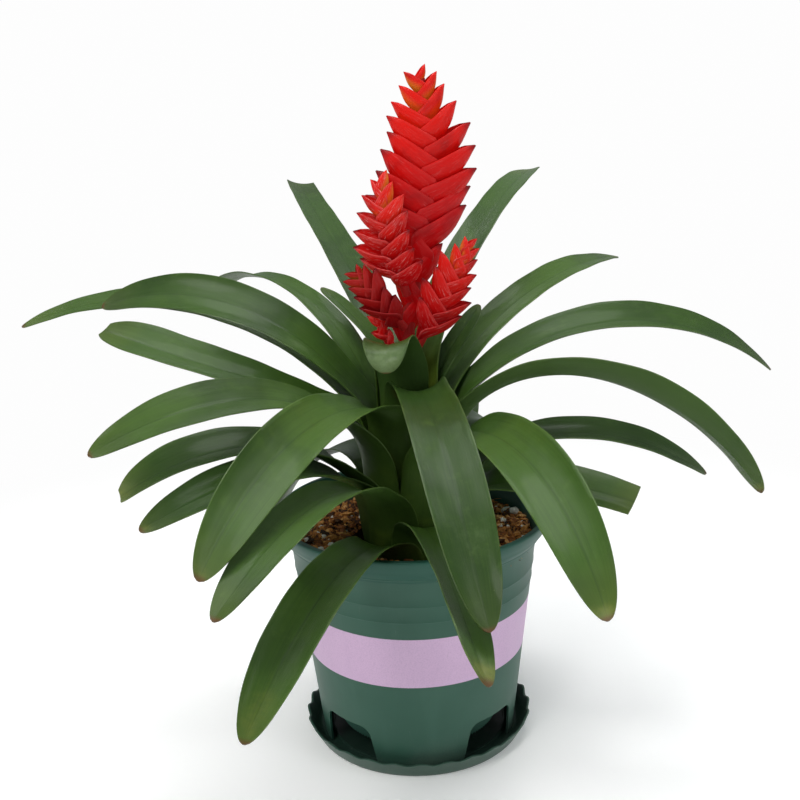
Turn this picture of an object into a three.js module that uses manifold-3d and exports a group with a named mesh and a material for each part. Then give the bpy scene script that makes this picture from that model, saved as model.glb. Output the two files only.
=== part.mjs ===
// A potted bromeliad: a rosette of strap leaves round one branched red flower spike, in a plastic
// nursery pot that stands on a scalloped saucer. Millimetres, +Z up, origin at the centre of the
// saucer's underside. The side that the viewer sees first faces -Y.
import * as THREE from 'three';
import { mergeVertices } from 'three/addons/utils/BufferGeometryUtils.js';
import Module from 'manifold-3d';

const wasm = await Module();
wasm.setup();

// ---------------------------------------------------------------- driving dimensions
const gap = 0.3; // clearance between pieces that touch

const saucer = {
  baseRadius: 62.5,
  footRadius: 64.6,
  rimRadius: 69.8,
  height: 11.3,
  wall: 1.5,
  floor: 2.2,
  scallops: 28,
  wave: 1.0,
  ringRadius: 53,
  ringWidth: 2.4,
  ringHeight: 1.4,
  sides: 84,
};

const pot = {
  footRadius: 59.7,
  neckRadius: 73.8, // outside, just under the lip
  neckHeight: 126,
  rimRadius: 82.5,
  height: 144.5,
  wall: 1.5,
  floorRadius: 43,
  floorHeight: 13,
  skirtHeight: 35, // where the sloping underside meets the wall
  archFoot: 20.5, // half width of a base arch at the bottom
  archTop: 18, // and near its top
  archHeight: 26,
  archCorner: 7,
  sides: 44,
};
pot.foot = saucer.floor + gap;

const soil = {
  top: 127.5,
  holeRadius: 40,
  holeFloor: 107.7,
  relief: 1.3,
  dip: 3.5, // the soil lies lower where it meets the plant
  sides: 44,
};

const stem = {
  discRadius: 39.4,
  seat: 112.7, // leaves stand on this face
  coreRadius: 8.5,
  coreTop: 122,
};

const leafShape = {
  thickness: 0.8,
  base: stem.seat + gap,
  foot: 0.8, // radius of a sheath's foot against its top
  lean: 0.17, // the steepest that a sheath slopes outward
  sheath: 0.625, // half width of a sheath's foot against the blade's width
  belly: 1.15, // how much further a sheath reaches round the plant half way up
  wrap: 1.05, // the furthest that either half of it reaches round the plant (radians)
  flare: 0.4, // extra width of a blade where it leaves its sheath
  flareLength: 45,
  shoulder: 30, // length over which a blade turns out of its sheath
  channel: 26, // radius of the blade's cross-section
  opening: 60, // length over which the sheath opens into the channel
  columns: 4,
  steps: [0, 0.06, 0.14, 0.26, 0.4, 0.54, 0.68, 0.82, 0.93, 1],
};

// Each leaf: direction it grows in and how much that drifts (degrees), width and blade length,
// radius of its sheath about the plant's axis, height of its neck, angle above level where the
// blade sets out and at its tip, how the bend is spread (under 1 bends early), twist, and its end.
const leaves = {
  leaf_cup_front: {
    heading: 250, sway: 21, width: 29, length: 70, nest: 17, neck: 215, rise: 85, tip: -100, bend: 2.3,
    twist: 3, end: 'point',
  },
  leaf_front_centre: {
    heading: 278, sway: 6, width: 32, length: 200, nest: 18.5, neck: 211, rise: 53, tip: -48, bend: 0.4,
    twist: 5, end: 'point',
  },
  leaf_front_low: {
    heading: 276, sway: 7, width: 28, length: 185, nest: 36.5, neck: 135, rise: 57, tip: -22, bend: 0.4,
    twist: -34, end: 'point',
  },
  leaf_front_right_broad: {
    heading: 295, sway: -14, width: 32, length: 221, nest: 32, neck: 178, rise: 80, tip: -42, bend: 0.5,
    twist: 28, end: 'point',
  },
  leaf_right_cut: {
    heading: -30, sway: 4, width: 29, length: 111, nest: 35, neck: 150, rise: 62, tip: -13, bend: 0.4,
    twist: 31, end: 'cut',
  },
  leaf_right_low: {
    heading: 1, sway: 0, width: 29, length: 162, nest: 33.5, neck: 158, rise: 64, tip: -36, bend: 0.55,
    twist: 13, end: 'point',
  },
  leaf_right_arched: {
    heading: -28, sway: 13, width: 33, length: 213, nest: 30.5, neck: 191, rise: 81, tip: -58, bend: 0.65,
    twist: -42, end: 'point',
  },
  leaf_right_long: {
    heading: 8, sway: 6, width: 32, length: 239, nest: 24.5, neck: 190, rise: 64, tip: -41, bend: 0.8,
    twist: 19, end: 'point',
  },
  leaf_right_high: {
    heading: 42, sway: 14, width: 25, length: 226, nest: 21.5, neck: 194, rise: 61, tip: -9, bend: 0.65,
    twist: 8, end: 'point',
  },
  leaf_upright_right: {
    heading: 57, sway: 18, width: 24, length: 230, nest: 17, neck: 224, rise: 64, tip: -1, bend: 0.75,
    twist: -8, end: 'blunt',
  },
  leaf_inner_right: {
    heading: 31, sway: 13, width: 11, length: 59, nest: 18.5, neck: 215, rise: 77, tip: 39, bend: 0.4,
    twist: 34, end: 'point',
  },
  leaf_back_right_low: {
    heading: 34, sway: -5, width: 32, length: 120, nest: 38, neck: 142, rise: 30, tip: -70, bend: 0.8,
    twist: 0, end: 'point',
  },
  leaf_back_right: {
    heading: 53, sway: -8, width: 33, length: 136, nest: 32, neck: 167, rise: 35, tip: -70, bend: 0.7,
    twist: 0, end: 'point',
  },
  leaf_back_right_high: {
    heading: 77, sway: -6, width: 38, length: 174, nest: 29, neck: 183, rise: 46, tip: -76, bend: 0.8,
    twist: 0, end: 'point',
  },
  leaf_back_high: {
    heading: 75, sway: 6, width: 28, length: 178, nest: 26, neck: 183, rise: 46, tip: -75, bend: 0.9,
    twist: 0, end: 'point',
  },
  leaf_back_low: {
    heading: 98, sway: 6, width: 34, length: 165, nest: 36.5, neck: 150, rise: 40, tip: -70, bend: 0.8,
    twist: 0, end: 'point',
  },
  leaf_back_left: {
    heading: 140, sway: 4, width: 28, length: 150, nest: 30.5, neck: 161, rise: 40, tip: -70, bend: 0.4,
    twist: 2, end: 'point',
  },
  leaf_upright_left: {
    heading: 112, sway: -10, width: 29, length: 240, nest: 20, neck: 219, rise: 50, tip: 12, bend: 0.4,
    twist: 10, end: 'cut',
  },
  leaf_inner_left: {
    heading: 154, sway: -11, width: 16, length: 67, nest: 15.5, neck: 226, rise: 72, tip: 29, bend: 0.65,
    twist: 6, end: 'point',
  },
  leaf_left_arched: {
    heading: 136, sway: -11, width: 22, length: 231, nest: 23, neck: 182, rise: 86, tip: -36, bend: 0.85,
    twist: 9, end: 'point',
  },
  leaf_left_high: {
    heading: 167, sway: -3, width: 29, length: 210, nest: 21.5, neck: 187, rise: 60, tip: -22, bend: 1.2,
    twist: -42, end: 'point',
  },
  leaf_left_long: {
    heading: 160, sway: 14, width: 21, length: 265, nest: 24.5, neck: 182, rise: 62, tip: -24, bend: 0.85,
    twist: -24, end: 'point',
  },
  leaf_left_blunt: {
    heading: 185, sway: -29, width: 29, length: 174, nest: 27.5, neck: 186, rise: 37, tip: 15, bend: 0.4,
    twist: -23, end: 'blunt',
  },
  leaf_left_level: {
    heading: 219, sway: -24, width: 28, length: 194, nest: 29, neck: 175, rise: 76, tip: -29, bend: 0.7,
    twist: -31, end: 'point',
  },
  leaf_left_twisted: {
    heading: 217, sway: -28, width: 32, length: 175, nest: 32, neck: 148, rise: 67, tip: -35, bend: 0.95,
    twist: -13, end: 'blunt',
  },
  leaf_left_low: {
    heading: 227, sway: -21, width: 29, length: 170, nest: 33.5, neck: 148, rise: 69, tip: -24, bend: 0.65,
    twist: -18, end: 'point',
  },
  leaf_front_left_broad: {
    heading: 242, sway: 10, width: 30, length: 215, nest: 26, neck: 199, rise: 64, tip: -29, bend: 0.4,
    twist: -41, end: 'point',
  },
  leaf_front_left_low: {
    heading: 249, sway: -3, width: 26, length: 219, nest: 35, neck: 145, rise: 60, tip: -21, bend: 0.6,
    twist: -7, end: 'point',
  },
  leaf_front_left_lowest: {
    heading: 250, sway: 0, width: 31, length: 206, nest: 38, neck: 124, rise: 62, tip: -27, bend: 0.4,
    twist: -3, end: 'point',
  },
};

// Each bloom: points along its stalk from foot to top and the stalk's radius at both. Its bracts
// stand in two ranks: where along the stalk they begin and end, their number, their length and
// half depth at the foot and the top, how far they lean off the stalk, and how far the flat of
// the bloom is turned (degrees); the skew tells the two ranks' leans apart. The main stalk is also
// clad in bracts below its bloom.
const blooms = {
  bloom_main: {
    path: [[0, 0, 122.3], [0, 0, 190], [0, 0, 250], [4.5, 0, 276], [8, 0, 305], [12.5, 0, 330],
      [14.3, 0, 350], [12.8, 0, 372], [11, 0, 394]],
    radius: [5.4, 3],
    bracts: {
      from: 0.631, to: 0.982, count: 17, length: [42, 13], depth: [8, 4.5], lean: [37, 17], skew: 3,
      turn: 10,
    },
    scape: {
      from: 0.455, to: 0.6, count: 4, length: [34, 38], depth: [5.8, 6.5], lean: [12, 18], skew: 0,
      turn: 4,
    },
  },
  bloom_left_upper: {
    path: [[0.6, -6.8, 276], [-6.5, -15.5, 299], [-9.5, -17.5, 320], [-10.5, -16.5, 338.5]],
    radius: [2.6, 1.6],
    bracts: {
      from: 0.06, to: 0.88, count: 13, length: [28, 16], depth: [5.5, 3.5], lean: [44, 9], skew: 7,
      turn: -30,
    },
  },
  bloom_left_lower: {
    path: [[-1.8, -6.3, 257], [-8, -13.5, 267], [-15, -16, 277], [-23, -16, 287]],
    radius: [2.6, 1.5],
    bracts: {
      from: 0.06, to: 0.97, count: 10, length: [26, 12], depth: [4.5, 3], lean: [20, 14], skew: 8,
      turn: 5,
    },
  },
  bloom_left_small: {
    path: [[-5.6, -2.4, 242], [-11.5, -7, 251], [-16, -6, 260], [-20, -6, 267]],
    radius: [2, 1.2],
    bracts: {
      from: 0.15, to: 0.95, count: 7, length: [14, 8], depth: [3, 2.2], lean: [18, 6], skew: 0, turn: 8,
    },
  },
  bloom_right: {
    path: [[5.2, -3.9, 244], [12.5, -9, 258], [20, -11, 273], [27, -11, 287], [33.5, -11, 299]],
    radius: [2.8, 1.6],
    bracts: {
      from: 0.08, to: 0.97, count: 13, length: [28, 13], depth: [4.5, 3], lean: [29, 8], skew: 0,
      turn: 10,
    },
  },
};
// Sizes of a bract are shares of its length: its keel bows outward from the line between foot and
// tip, and its two sides reach back from the keel, narrow at the foot, widest a quarter of the way
// up and past the stalk there, so that each bract clasps the next one above it.
const bractShape = {
  steps: [0, 0.25, 0.68, 1],
  bow: 0.15,
  side: 0.4,
  footSide: 0.12,
  widening: 1.1, // growth in width from the foot upward, over the growth in length
  tipSide: 0.02,
  grade: 2.5, // bracts keep the foot's size for most of the way up, then shrink to the top's
};
const stalkSides = 6;

const colours = {
  saucer: 0x1f4a3d,
  pot: 0x3f6d58,
  soil: 0x6b4526,
  stem: 0x8a9a58,
  leaf: 0x3b6128,
  bract: 0xb3141a,
};

// ---------------------------------------------------------------- small helpers
const degrees = THREE.MathUtils.degToRad;
const lerp = THREE.MathUtils.lerp;

function smooth(t) {
  return THREE.MathUtils.smoothstep(t, 0, 1);
}

function makeMesh(name, geometry, colour, roughness) {
  const material = new THREE.MeshStandardMaterial({ color: colour, roughness, metalness: 0 });
  const mesh = new THREE.Mesh(geometry, material);
  mesh.name = name;
  return mesh;
}

function pointsOnly(geometry) {
  const bare = geometry.clone();
  bare.deleteAttribute('normal');
  bare.deleteAttribute('uv');
  return mergeVertices(bare, 1e-4);
}

function toSolid(geometry) {
  const bare = pointsOnly(geometry);
  const triVerts = dropFlat(bare.index.array);
  const vertProperties = new Float32Array(bare.attributes.position.array);
  return new wasm.Manifold(new wasm.Mesh({ numProp: 3, vertProperties, triVerts }));
}

// Triangles that lost an edge when their corners were merged are left out.
function dropFlat(index) {
  const kept = [];
  for (let i = 0; i < index.length; i += 3) {
    const [a, b, c] = [index[i], index[i + 1], index[i + 2]];
    if (a !== b && b !== c && c !== a) kept.push(a, b, c);
  }
  return new Uint32Array(kept);
}

function fromSolid(solid) {
  const mesh = solid.getMesh();
  const geometry = new THREE.BufferGeometry();
  geometry.setAttribute('position', new THREE.BufferAttribute(mesh.vertProperties, 3));
  geometry.setIndex(new THREE.BufferAttribute(mesh.triVerts, 1));
  return geometry;
}

// A closed skin over rings of points that all have the same count, with a flat cap at each end.
function skin(rings) {
  const count = rings[0].length;
  const position = rings.flat().flatMap((p) => [p.x, p.y, p.z]);
  const index = [];
  for (let r = 0; r < rings.length - 1; r += 1) {
    for (let k = 0; k < count; k += 1) {
      const next = (k + 1) % count;
      const [a, b, c, d] = [r * count + k, r * count + next, (r + 1) * count + next, (r + 1) * count + k];
      index.push(a, b, c, a, c, d);
    }
  }
  const last = (rings.length - 1) * count;
  for (let k = 1; k < count - 1; k += 1) {
    index.push(0, k + 1, k);
    index.push(last, last + k, last + k + 1);
  }
  const geometry = new THREE.BufferGeometry();
  geometry.setAttribute('position', new THREE.Float32BufferAttribute(position, 3));
  geometry.setIndex(index);
  return geometry;
}

// A profile of [radius, height] pairs turned about the plant's axis.
function turned(profile, sides) {
  const points = profile.map(([radius, height]) => new THREE.Vector2(radius, height));
  const geometry = new THREE.LatheGeometry(points, sides);
  geometry.rotateX(Math.PI / 2);
  return geometry;
}

// ---------------------------------------------------------------- saucer, pot and soil
function saucerGeometry() {
  const { baseRadius, footRadius, rimRadius, height, wall, floor, ringRadius, ringWidth } = saucer;
  const ringTop = floor + saucer.ringHeight;
  const profile = [
    [0, 0],
    [baseRadius, 0],
    [footRadius, 1.6],
    [rimRadius, height],
    [rimRadius - wall, height],
    [baseRadius - 0.6, floor],
    [ringRadius + ringWidth, floor],
    [ringRadius + ringWidth - 0.4, ringTop],
    [ringRadius + 0.4, ringTop],
    [ringRadius, floor],
    [0, floor],
  ];
  const geometry = turned(profile, saucer.sides);
  const position = geometry.attributes.position;
  for (let i = 0; i < position.count; i += 1) {
    const [x, y, z] = [position.getX(i), position.getY(i), position.getZ(i)];
    if (z > height - 0.01) {
      const wave = Math.cos(saucer.scallops * Math.atan2(y, x));
      const out = 1 + (0.6 * saucer.wave * wave) / rimRadius;
      position.setXYZ(i, x * out, y * out, z + saucer.wave * wave);
    }
  }
  return fromSolid(toSolid(geometry));
}

function wallRadius(z) {
  const along = (z - pot.foot) / (pot.neckHeight - pot.foot);
  return lerp(pot.footRadius, pot.neckRadius, along);
}

// One base arch: an upright slab with slanted sides and round upper corners, cut down to the
// thickness of the foot wall so that the sloping underside behind it stays whole.
function archCutter(angle) {
  const { archHeight, archCorner, archFoot, archTop, wall, foot } = pot;
  const corner = archTop - archCorner;
  const outline = new THREE.Shape();
  outline.moveTo(-archFoot, 0);
  outline.lineTo(archFoot, 0);
  outline.lineTo(archTop, archHeight - archCorner);
  outline.absarc(corner, archHeight - archCorner, archCorner, 0, Math.PI / 2, false);
  outline.absarc(-corner, archHeight - archCorner, archCorner, Math.PI / 2, Math.PI, false);
  outline.lineTo(-archFoot, 0);
  const slab = new THREE.ExtrudeGeometry(outline, { depth: 40, bevelEnabled: false, curveSegments: 4 });
  slab.rotateX(Math.PI / 2);
  slab.translate(0, -40, foot - 0.5);
  slab.rotateZ(degrees(angle));
  const clear = wall + 0.4;
  const wallBand = turned([
    [wallRadius(0) - clear, 0],
    [wallRadius(0) + clear, 0],
    [wallRadius(40) + clear, 40],
    [wallRadius(40) - clear, 40],
    [wallRadius(0) - clear, 0],
  ], pot.sides);
  return toSolid(slab).intersect(toSolid(wallBand));
}

function potGeometry() {
  const { floorRadius, floorHeight, skirtHeight, neckHeight, neckRadius, rimRadius } = pot;
  const { height, wall, foot } = pot;
  const underWall = wallRadius(skirtHeight) - wall;
  const profile = [
    [0, floorHeight],
    [floorRadius, floorHeight],
    [underWall, skirtHeight],
    [pot.footRadius - wall, foot],
    [pot.footRadius, foot],
    [neckRadius, neckHeight],
    [neckRadius + 0.5, neckHeight + 3],
    [neckRadius + 2.5, neckHeight + 5.6],
    [neckRadius + 4.9, neckHeight + 8],
    [neckRadius + 6.9, neckHeight + 11.5],
    [rimRadius - 0.3, height - 2.5],
    [rimRadius, height - 0.8],
    [rimRadius - 0.6, height],
    [rimRadius - 3.4, height],
    [rimRadius - 4, height - 0.9],
    [neckRadius + 3.2, neckHeight + 12],
    [neckRadius - 0.4, neckHeight + 6],
    [neckRadius - wall, neckHeight],
    [underWall + 0.2, skirtHeight + 2.2],
    [floorRadius + 1, floorHeight + 2],
    [0, floorHeight + 2],
  ];
  let solid = toSolid(turned(profile, pot.sides));
  for (const angle of [45, 135, 225, 315]) {
    solid = solid.subtract(archCutter(angle));
  }
  return fromSolid(solid);
}

function soilGeometry() {
  const { top, holeRadius, holeFloor, sides } = soil;
  const side = wallRadius(top) - pot.wall - gap - 0.25;
  const profile = [
    [0, pot.floorHeight + 2 + gap],
    [pot.floorRadius + 0.5, pot.floorHeight + 2 + gap],
    [wallRadius(pot.skirtHeight) - pot.wall - 0.5, pot.skirtHeight + 2.9],
    [side, top],
    [lerp(holeRadius, side, 0.66), top],
    [lerp(holeRadius, side, 0.33), top],
    [holeRadius, top - soil.dip],
    [holeRadius, holeFloor],
    [0, holeFloor],
  ];
  const geometry = turned(profile, sides);
  const position = geometry.attributes.position;
  for (let i = 0; i < position.count; i += 1) {
    const [x, y, z] = [position.getX(i), position.getY(i), position.getZ(i)];
    if (z > top - soil.dip - 0.01) {
      const lumps = Math.sin(0.31 * x + 1) * Math.cos(0.27 * y) + Math.sin(0.55 * y - 0.4 * x);
      position.setZ(i, z + soil.relief * lumps);
    }
  }
  return fromSolid(toSolid(geometry));
}

function stemGeometry() {
  const { discRadius, seat, coreRadius, coreTop } = stem;
  const profile = [
    [0, soil.holeFloor + gap],
    [discRadius, soil.holeFloor + gap],
    [discRadius, seat],
    [coreRadius + 0.8, seat],
    [coreRadius, coreTop],
    [0, coreTop],
  ];
  return fromSolid(toSolid(turned(profile, 32)));
}

// ---------------------------------------------------------------- leaves
// Radius of the ring on which the leaf's sheath stands: sheaths slope outward as they rise.
function footRadius(leaf) {
  const { foot, lean, base } = leafShape;
  return Math.max(foot * leaf.nest, leaf.nest - lean * (leaf.neck - base));
}

// Direction of growth at fraction t of the blade, with the across and inward directions there.
function leafFrame(leaf, t) {
  const slope = (leaf.nest - footRadius(leaf)) / (leaf.neck - leafShape.base);
  const start = 90 - THREE.MathUtils.radToDeg(Math.atan(slope));
  const rise = lerp(start, leaf.rise, smooth((t * leaf.length) / leafShape.shoulder));
  const pitch = degrees(rise + (leaf.tip - leaf.rise) * t ** leaf.bend);
  const heading = degrees(leaf.heading + leaf.sway * t * t);
  const along = new THREE.Vector3(
    Math.cos(pitch) * Math.cos(heading),
    Math.cos(pitch) * Math.sin(heading),
    Math.sin(pitch),
  );
  const across = new THREE.Vector3(-Math.sin(heading), Math.cos(heading), 0);
  const inward = new THREE.Vector3().crossVectors(along, across);
  const twist = degrees(leaf.twist) * smooth(t / 0.7);
  across.applyAxisAngle(along, twist);
  inward.applyAxisAngle(along, twist);
  return { along, across, inward };
}

// A strap that keeps its width, then closes to its tip, or ends blunt or cut off.
function strapHalfWidth(leaf, t) {
  const strap = (leaf.width / 2) * (0.86 + 0.14 * smooth(t / 0.3));
  if (leaf.end === 'cut') return strap * (1 - 0.3 * t * t);
  if (leaf.end === 'blunt') return strap * Math.sqrt(1 - 0.85 * Math.max(0, (t - 0.75) / 0.25) ** 3);
  const taper = Math.max(0, (t - 0.45) / 0.55);
  return strap * Math.max(0, 1 - taper ** 3) ** 0.6 + 0.6 * t;
}

function leafHalfWidth(leaf, t, radius) {
  const { flare, flareLength, wrap } = leafShape;
  const widened = 1 + flare * (1 - smooth((t * leaf.length) / flareLength));
  return Math.min(strapHalfWidth(leaf, t) * widened, wrap * radius);
}

// One ring of the leaf's closed cross-section: its upper face, then its lower face back again.
function leafRing(centre, frame, halfWidth, radius) {
  const { columns, thickness } = leafShape;
  const faces = [thickness / 2, -thickness / 2].map((offset) => {
    const face = [];
    for (let k = 0; k <= columns; k += 1) {
      const angle = (halfWidth / radius) * ((2 * k) / columns - 1);
      const reach = radius * Math.sin(angle) - offset * Math.sin(angle);
      const lift = radius * (1 - Math.cos(angle)) + offset * Math.cos(angle);
      face.push(centre.clone().addScaledVector(frame.across, reach).addScaledVector(frame.inward, lift));
    }
    return face;
  });
  return [...faces[0], ...faces[1].reverse()];
}

// The sheath's rings lie level, round the plant's axis.
function sheathRing(leaf, share, swell) {
  const heading = degrees(leaf.heading);
  const outward = new THREE.Vector3(Math.cos(heading), Math.sin(heading), 0);
  const across = new THREE.Vector3(-Math.sin(heading), Math.cos(heading), 0);
  const radius = lerp(footRadius(leaf), leaf.nest, share);
  const reach = Math.min((swell * leafShape.sheath * leaf.width) / leaf.nest, leafShape.wrap);
  const centre = outward.clone().multiplyScalar(radius).setZ(lerp(leafShape.base, leaf.neck, share));
  return leafRing(centre, { across, inward: outward.negate() }, reach * radius, radius);
}

function leafGeometry(leaf) {
  const rings = [sheathRing(leaf, 0, 1), sheathRing(leaf, 0.5, leafShape.belly)];
  const heading = degrees(leaf.heading);
  const point = new THREE.Vector3(Math.cos(heading), Math.sin(heading), 0);
  point.multiplyScalar(leaf.nest).setZ(leaf.neck);
  let before = 0;
  for (const t of leafShape.steps) {
    const strides = 6;
    for (let k = 0; k < strides; k += 1) {
      const middle = lerp(before, t, (k + 0.5) / strides);
      const stride = ((t - before) * leaf.length) / strides;
      point.addScaledVector(leafFrame(leaf, middle).along, stride);
    }
    before = t;
    const open = smooth((t * leaf.length) / leafShape.opening);
    const radius = lerp(leaf.nest, leafShape.channel, open);
    rings.push(leafRing(point, leafFrame(leaf, t), leafHalfWidth(leaf, t, radius), radius));
  }
  return fromLoops(rings);
}

// Skins the rings with both faces split into triangles alike, and closes the two ends.
function fromLoops(rings) {
  const { columns } = leafShape;
  const count = rings[0].length;
  const index = [];
  for (let r = 0; r < rings.length - 1; r += 1) {
    for (let k = 0; k < count; k += 1) {
      const next = (k + 1) % count;
      const [a, b, c, d] = [r * count + k, r * count + next, (r + 1) * count + next, (r + 1) * count + k];
      if (k < columns) index.push(a, b, c, a, c, d);
      else index.push(a, b, d, b, c, d);
    }
  }
  const last = (rings.length - 1) * count;
  for (let k = 0; k < columns; k += 1) {
    const [a, b, c, d] = [k, k + 1, count - 2 - k, count - 1 - k];
    index.push(a, c, b, a, d, c);
    index.push(last + a, last + b, last + c, last + a, last + c, last + d);
  }
  const geometry = new THREE.BufferGeometry();
  const position = rings.flat().flatMap((p) => [p.x, p.y, p.z]);
  geometry.setAttribute('position', new THREE.Float32BufferAttribute(position, 3));
  geometry.setIndex(index);
  const volume = toSolid(geometry).volume();
  if (volume < 0) geometry.setIndex(index.reverse());
  return geometry;
}

// ---------------------------------------------------------------- blooms
function stalkRing(centre, along, radius) {
  const side = new THREE.Vector3(0, 1, 0).cross(along).normalize();
  const front = new THREE.Vector3().crossVectors(along, side);
  const ring = [];
  for (let k = 0; k < stalkSides; k += 1) {
    const angle = (2 * Math.PI * k) / stalkSides;
    ring.push(centre.clone()
      .addScaledVector(side, radius * Math.cos(angle))
      .addScaledVector(front, radius * Math.sin(angle)));
  }
  return ring;
}

function stalkGeometry(bloom, curve) {
  const rings = [];
  const count = bloom.scape ? 12 : 5;
  for (let k = 0; k <= count; k += 1) {
    const t = k / count;
    rings.push(stalkRing(curve.getPointAt(t), curve.getTangentAt(t), lerp(...bloom.radius, t)));
  }
  return skin(rings);
}

// A boat-shaped bract that leaves the stalk at a point, keel outward, and closes to a raised tip.
function bractGeometry(root, up, out, length, depth, leaning) {
  const { steps, bow, side, footSide, widening, tipSide } = bractShape;
  const front = new THREE.Vector3().crossVectors(up, out);
  const lean = degrees(leaning);
  const along = up.clone().multiplyScalar(Math.cos(lean)).addScaledVector(out, Math.sin(lean));
  const keelward = out.clone().multiplyScalar(Math.cos(lean)).addScaledVector(up, -Math.sin(lean));
  const rings = steps.map((t) => {
    const keel = bow * Math.sin(Math.PI * t ** 1.3);
    const width = Math.min(side * (1 - t ** 2.6) ** 0.9, footSide + widening * t) + tipSide;
    const swell = Math.sin(Math.PI * lerp(0.06, 1, t)) ** 0.75 + 0.03;
    const centre = root.clone().addScaledVector(along, length * t);
    const corners = [[keel, 0], [keel - width, 1], [keel - width, -1]];
    return corners.map(([reach, face]) => centre.clone()
      .addScaledVector(keelward, length * reach)
      .addScaledVector(front, face * depth * swell));
  });
  return skin(rings);
}

function bloomGeometry(bloom) {
  const curve = new THREE.CatmullRomCurve3(bloom.path.map((p) => new THREE.Vector3(...p)));
  let solid = toSolid(stalkGeometry(bloom, curve));
  for (const part of [bloom.bracts, bloom.scape]) {
    for (let k = 0; k < (part?.count ?? 0); k += 1) {
      const f = k / (part.count - 1);
      const t = lerp(part.from, part.to, f);
      const rank = k % 2 === 0 ? -1 : 1;
      const turn = degrees(part.turn + (rank < 0 ? 0 : 180));
      const up = curve.getTangentAt(t);
      const level = new THREE.Vector3(Math.cos(turn), Math.sin(turn), 0);
      const out = level.addScaledVector(up, -level.dot(up)).normalize();
      const shrink = f ** bractShape.grade;
      const [length, depth, lean] = [part.length, part.depth, part.lean].map((pair) => lerp(...pair, shrink));
      const leaning = lean + rank * part.skew;
      solid = solid.add(toSolid(bractGeometry(curve.getPointAt(t), up, out, length, depth, leaning)));
    }
  }
  return fromSolid(solid);
}

// ---------------------------------------------------------------- the plant in its pot
const group = new THREE.Group();
group.add(makeMesh('saucer', saucerGeometry(), colours.saucer, 0.45));
group.add(makeMesh('pot', potGeometry(), colours.pot, 0.5));
group.add(makeMesh('soil', soilGeometry(), colours.soil, 0.95));
group.add(makeMesh('stem', stemGeometry(), colours.stem, 0.7));
for (const [name, leaf] of Object.entries(leaves)) {
  group.add(makeMesh(name, leafGeometry(leaf), colours.leaf, 0.35));
}
for (const [name, bloom] of Object.entries(blooms)) {
  group.add(makeMesh(name, bloomGeometry(bloom), colours.bract, 0.3));
}

export default group;
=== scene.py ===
# A potted bromeliad dressed over its solid model: finer leaves, flower bracts, pot, saucer and
# soil, each in the place of the solid that it stands for. Sizes here are millimetres, turned
# into metres as each mesh is made. The side that the viewer sees first faces -Y.
import math
import random

import bpy
import numpy as np
from mathutils import Matrix, Vector


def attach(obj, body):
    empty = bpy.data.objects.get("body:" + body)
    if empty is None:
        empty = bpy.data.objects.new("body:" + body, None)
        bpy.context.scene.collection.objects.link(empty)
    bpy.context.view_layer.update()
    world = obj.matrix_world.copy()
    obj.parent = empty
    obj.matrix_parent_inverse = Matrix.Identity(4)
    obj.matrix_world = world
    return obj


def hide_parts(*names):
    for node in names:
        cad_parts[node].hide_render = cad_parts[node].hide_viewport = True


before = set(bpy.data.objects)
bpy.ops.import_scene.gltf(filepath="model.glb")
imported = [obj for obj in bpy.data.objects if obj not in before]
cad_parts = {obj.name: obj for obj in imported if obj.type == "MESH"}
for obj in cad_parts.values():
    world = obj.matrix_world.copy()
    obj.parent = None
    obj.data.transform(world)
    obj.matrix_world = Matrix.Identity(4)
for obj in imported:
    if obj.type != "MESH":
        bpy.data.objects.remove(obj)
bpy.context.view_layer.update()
mm = 0.001
print("frame loaded with", len(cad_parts), "solids")


# ---- camera: the place and angle from which the plant was photographed
viewpoint = {
    "target": (-5.4, 0, 211.9),
    "distance": 700,
    "elevation": 16.3,
    "roll": -1.9,
    "lens": 53.586,
    "sensor": 36,
}


def makeCamera():
    lift, roll = math.radians(viewpoint["elevation"]), math.radians(viewpoint["roll"])
    right = Vector((1, 0, 0))
    forward = Vector((0, math.cos(lift), -math.sin(lift)))
    up = Vector((0, math.sin(lift), math.cos(lift)))
    side = right * math.cos(roll) + up * math.sin(roll)
    top = up * math.cos(roll) - right * math.sin(roll)
    turn = Matrix((side, top, -forward)).transposed().to_4x4()
    place = (Vector(viewpoint["target"]) - forward * viewpoint["distance"]) * mm
    data = bpy.data.cameras.new("camera")
    data.lens, data.sensor_width = viewpoint["lens"], viewpoint["sensor"]
    data.clip_start, data.clip_end = 0.01, 60
    camera = bpy.data.objects.new("camera", data)
    camera.matrix_world = Matrix.Translation(place) @ turn
    bpy.context.scene.collection.objects.link(camera)
    bpy.context.scene.camera = camera


makeCamera()


# ---- node trees: sums are written as sums, and every other node comes from Board.add
def sign(operation, reflected=False):  # what an operator does with a socket, on either side of it
    def apply(self, other):
        return self.pair(operation, *((other, self) if reflected else (self, other)))
    return apply


class Wire:  # one output socket
    def __init__(self, board, socket):
        self.board, self.socket = board, socket

    def get(self, name):  # another output of the same node
        return Wire(self.board, self.board.find(self.socket.node.outputs, name))

    def pair(self, operation, first, second):
        kind = "ShaderNodeVectorMath" if self.socket.type == "VECTOR" else "ShaderNodeMath"
        return self.board.add(kind, {"operation": operation}, {0: first, 1: second})

    __add__, __radd__ = sign("ADD"), sign("ADD", True)
    __sub__, __rsub__ = sign("SUBTRACT"), sign("SUBTRACT", True)
    __mul__, __rmul__ = sign("MULTIPLY"), sign("MULTIPLY", True)
    __truediv__, __rtruediv__ = sign("DIVIDE"), sign("DIVIDE", True)
    __pow__ = sign("POWER")


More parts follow.
